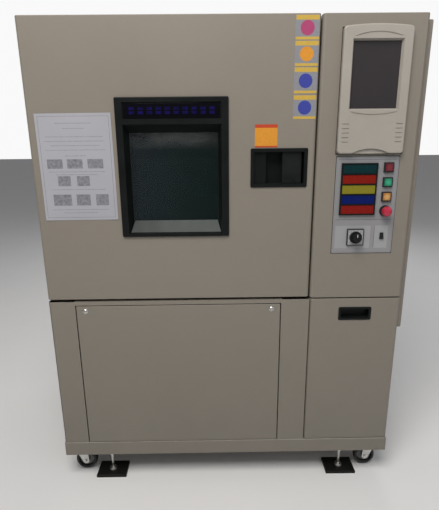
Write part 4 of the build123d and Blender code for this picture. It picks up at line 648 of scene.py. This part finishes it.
for line_z, half_length in ((0.122, 0.050), (0.108, 0.030), (0.086, 0.080), (0.074, 0.084), (0.062, 0.070),
                            (0.050, 0.084), (0.034, 0.030), (-0.010, 0.080), (-0.018, 0.060),
                            (-0.060, 0.078), (-0.118, 0.082), (-0.127, 0.050)):
    ink = ink + printed_box(spot, sheet_x + line_x, sheet_z + line_z, half_length, line_half) * broken
blank = spot.noise(5).blend((0.36, 0.36, 0.40), (0.43, 0.43, 0.47))
feed(paper, "Base Color", ink.at_most(1.0).blend(blank, (0.16, 0.16, 0.18)))
emboss(paper, spot.noise(40, 4), 0.0006)
columns, rows = 12, 16
lean = math.radians(-0.3)
sheet_off, curl, curl_from, bow, paper_thick = 0.0005, 0.0022, 0.55, 0.0006, 0.00012
points = []
for thickness in (paper_thick, 0):
    for row in range(rows + 1):
        for column in range(columns + 1):
            u, v = column / columns * 2 - 1, row / rows * 2 - 1
            lift = sheet_off + curl * max(0, abs(u) * abs(v) - curl_from) + bow * (1 - v * v) * (1 - u * u)
            flat = Vector((u * sheet_width / 2, v * sheet_height / 2)) @ Matrix.Rotation(lean, 2)
            points.append((sheet_x + flat.x, front - lift - thickness, sheet_z + flat.y))
faces = []
back_face = (columns + 1) * (rows + 1)
for row in range(rows):
    for column in range(columns):
        start = row * (columns + 1) + column
        corners = (start, start + 1, start + columns + 2, start + columns + 1)
        faces.append(corners)
        faces.append(tuple(back_face + corner for corner in reversed(corners)))
mesh = bpy.data.meshes.new("job_sheet")
mesh.from_pydata(points, [], faces)
for face in mesh.polygons:
    face.use_smooth = True
piece("job_sheet", mesh, paper, "door")

# Levelling pads: square black steel plates under the bolts, scuffed by the floor. The compressor's shell
# and the fan's motor are painted the same black.
black_steel, spot = finish_of("black_steel", (0.018, 0.018, 0.018), 0.5, gloss=0.2)
scuffed = spot.noise(30, 5)
feed(black_steel, "Base Color", scuffed.blend((0.003, 0.003, 0.003), (0.012, 0.012, 0.011)))
feed(black_steel, "Roughness", scuffed * 0.4 + 0.3)
emboss(black_steel, spot.noise(240), 0.0002)
clothe(black_steel, "levelling_pads", "compressor", "circulation_motor")

# Wheels: black rubber tyres on grey plastic hubs. The front ones swivel with their forks, and the rear
# ones roll in rigid forks on the base frame.
hub_radius = 0.024
for name in ("front_left_wheel", "front_right_wheel", "rear_left_wheel", "rear_right_wheel"):
    low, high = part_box(name)
    centre = (low + high) / 2
    along = 1 if high.x - low.x < high.y - low.y else 0
    tyre, spot = finish_of(name + "_rubber", (0.020, 0.020, 0.020), 0.7)
    across, rise = spot.part(along) - centre[along], spot.part(2) - centre.z
    hub = (across * across + rise * rise) < hub_radius ** 2
    feed(tyre, "Base Color", hub.blend((0.016, 0.016, 0.016), (0.16, 0.16, 0.16)))
    feed(tyre, "Roughness", spot.noise(120) * 0.3 + 0.45)
    emboss(tyre, spot.noise(300), 0.0002)
    clothe(tyre, name)

# Machine deck and electrical plate: galvanised sheet with its grey spangle, left unpainted because it
# stays inside the cabinet.
galvanised, spot = finish_of("galvanised", (0.50, 0.51, 0.52), 0.4, 0.9)
spangle = spot.node("ShaderNodeTexVoronoi", {}, {"Vector": spot, "Scale": 70.0})
feed(galvanised, "Roughness", spangle * 0.5 + 0.25)
feed(galvanised, "Base Color", spangle.blend((0.56, 0.57, 0.58), (0.42, 0.43, 0.44)))
clothe(galvanised, "machine_deck", "electrical_plate")

# Evaporator, condenser and circulation fan: bare aluminium, as fins pressed on the coils and as the
# blades and discs of the wheel.
fins, spot = finish_of("fin_aluminium", (0.62, 0.62, 0.62), 0.35, 1.0)
feed(fins, "Roughness", spot.noise(200) * 0.3 + 0.25)
clothe(fins, "evaporator", "condenser", "circulation_fan")

# Heater: a loop of sheathed rod that reaches across the test space behind the baffle from its left wall.
# Heat has turned the sheath a patchy brown.
sheath, spot = finish_of("heater_sheath", (0.12, 0.10, 0.09), 0.45, 0.8)
feed(sheath, "Base Color", spot.noise(40).blend((0.07, 0.06, 0.055), (0.20, 0.15, 0.11)))
clothe(sheath, "heater_coil")

# Water tank: a bottle with a filler neck, blown in one piece from milky polyethylene with slightly wavy
# walls. It stands on the drawer's tray.
milky, spot = finish_of("milky_polyethylene", (0.66, 0.68, 0.66), 0.45)
feed(milky, "Base Color", spot.noise(8).blend((0.60, 0.63, 0.61), (0.72, 0.73, 0.71)))
emboss(milky, spot.noise(60), 0.0003)
clothe(milky, "water_tank")
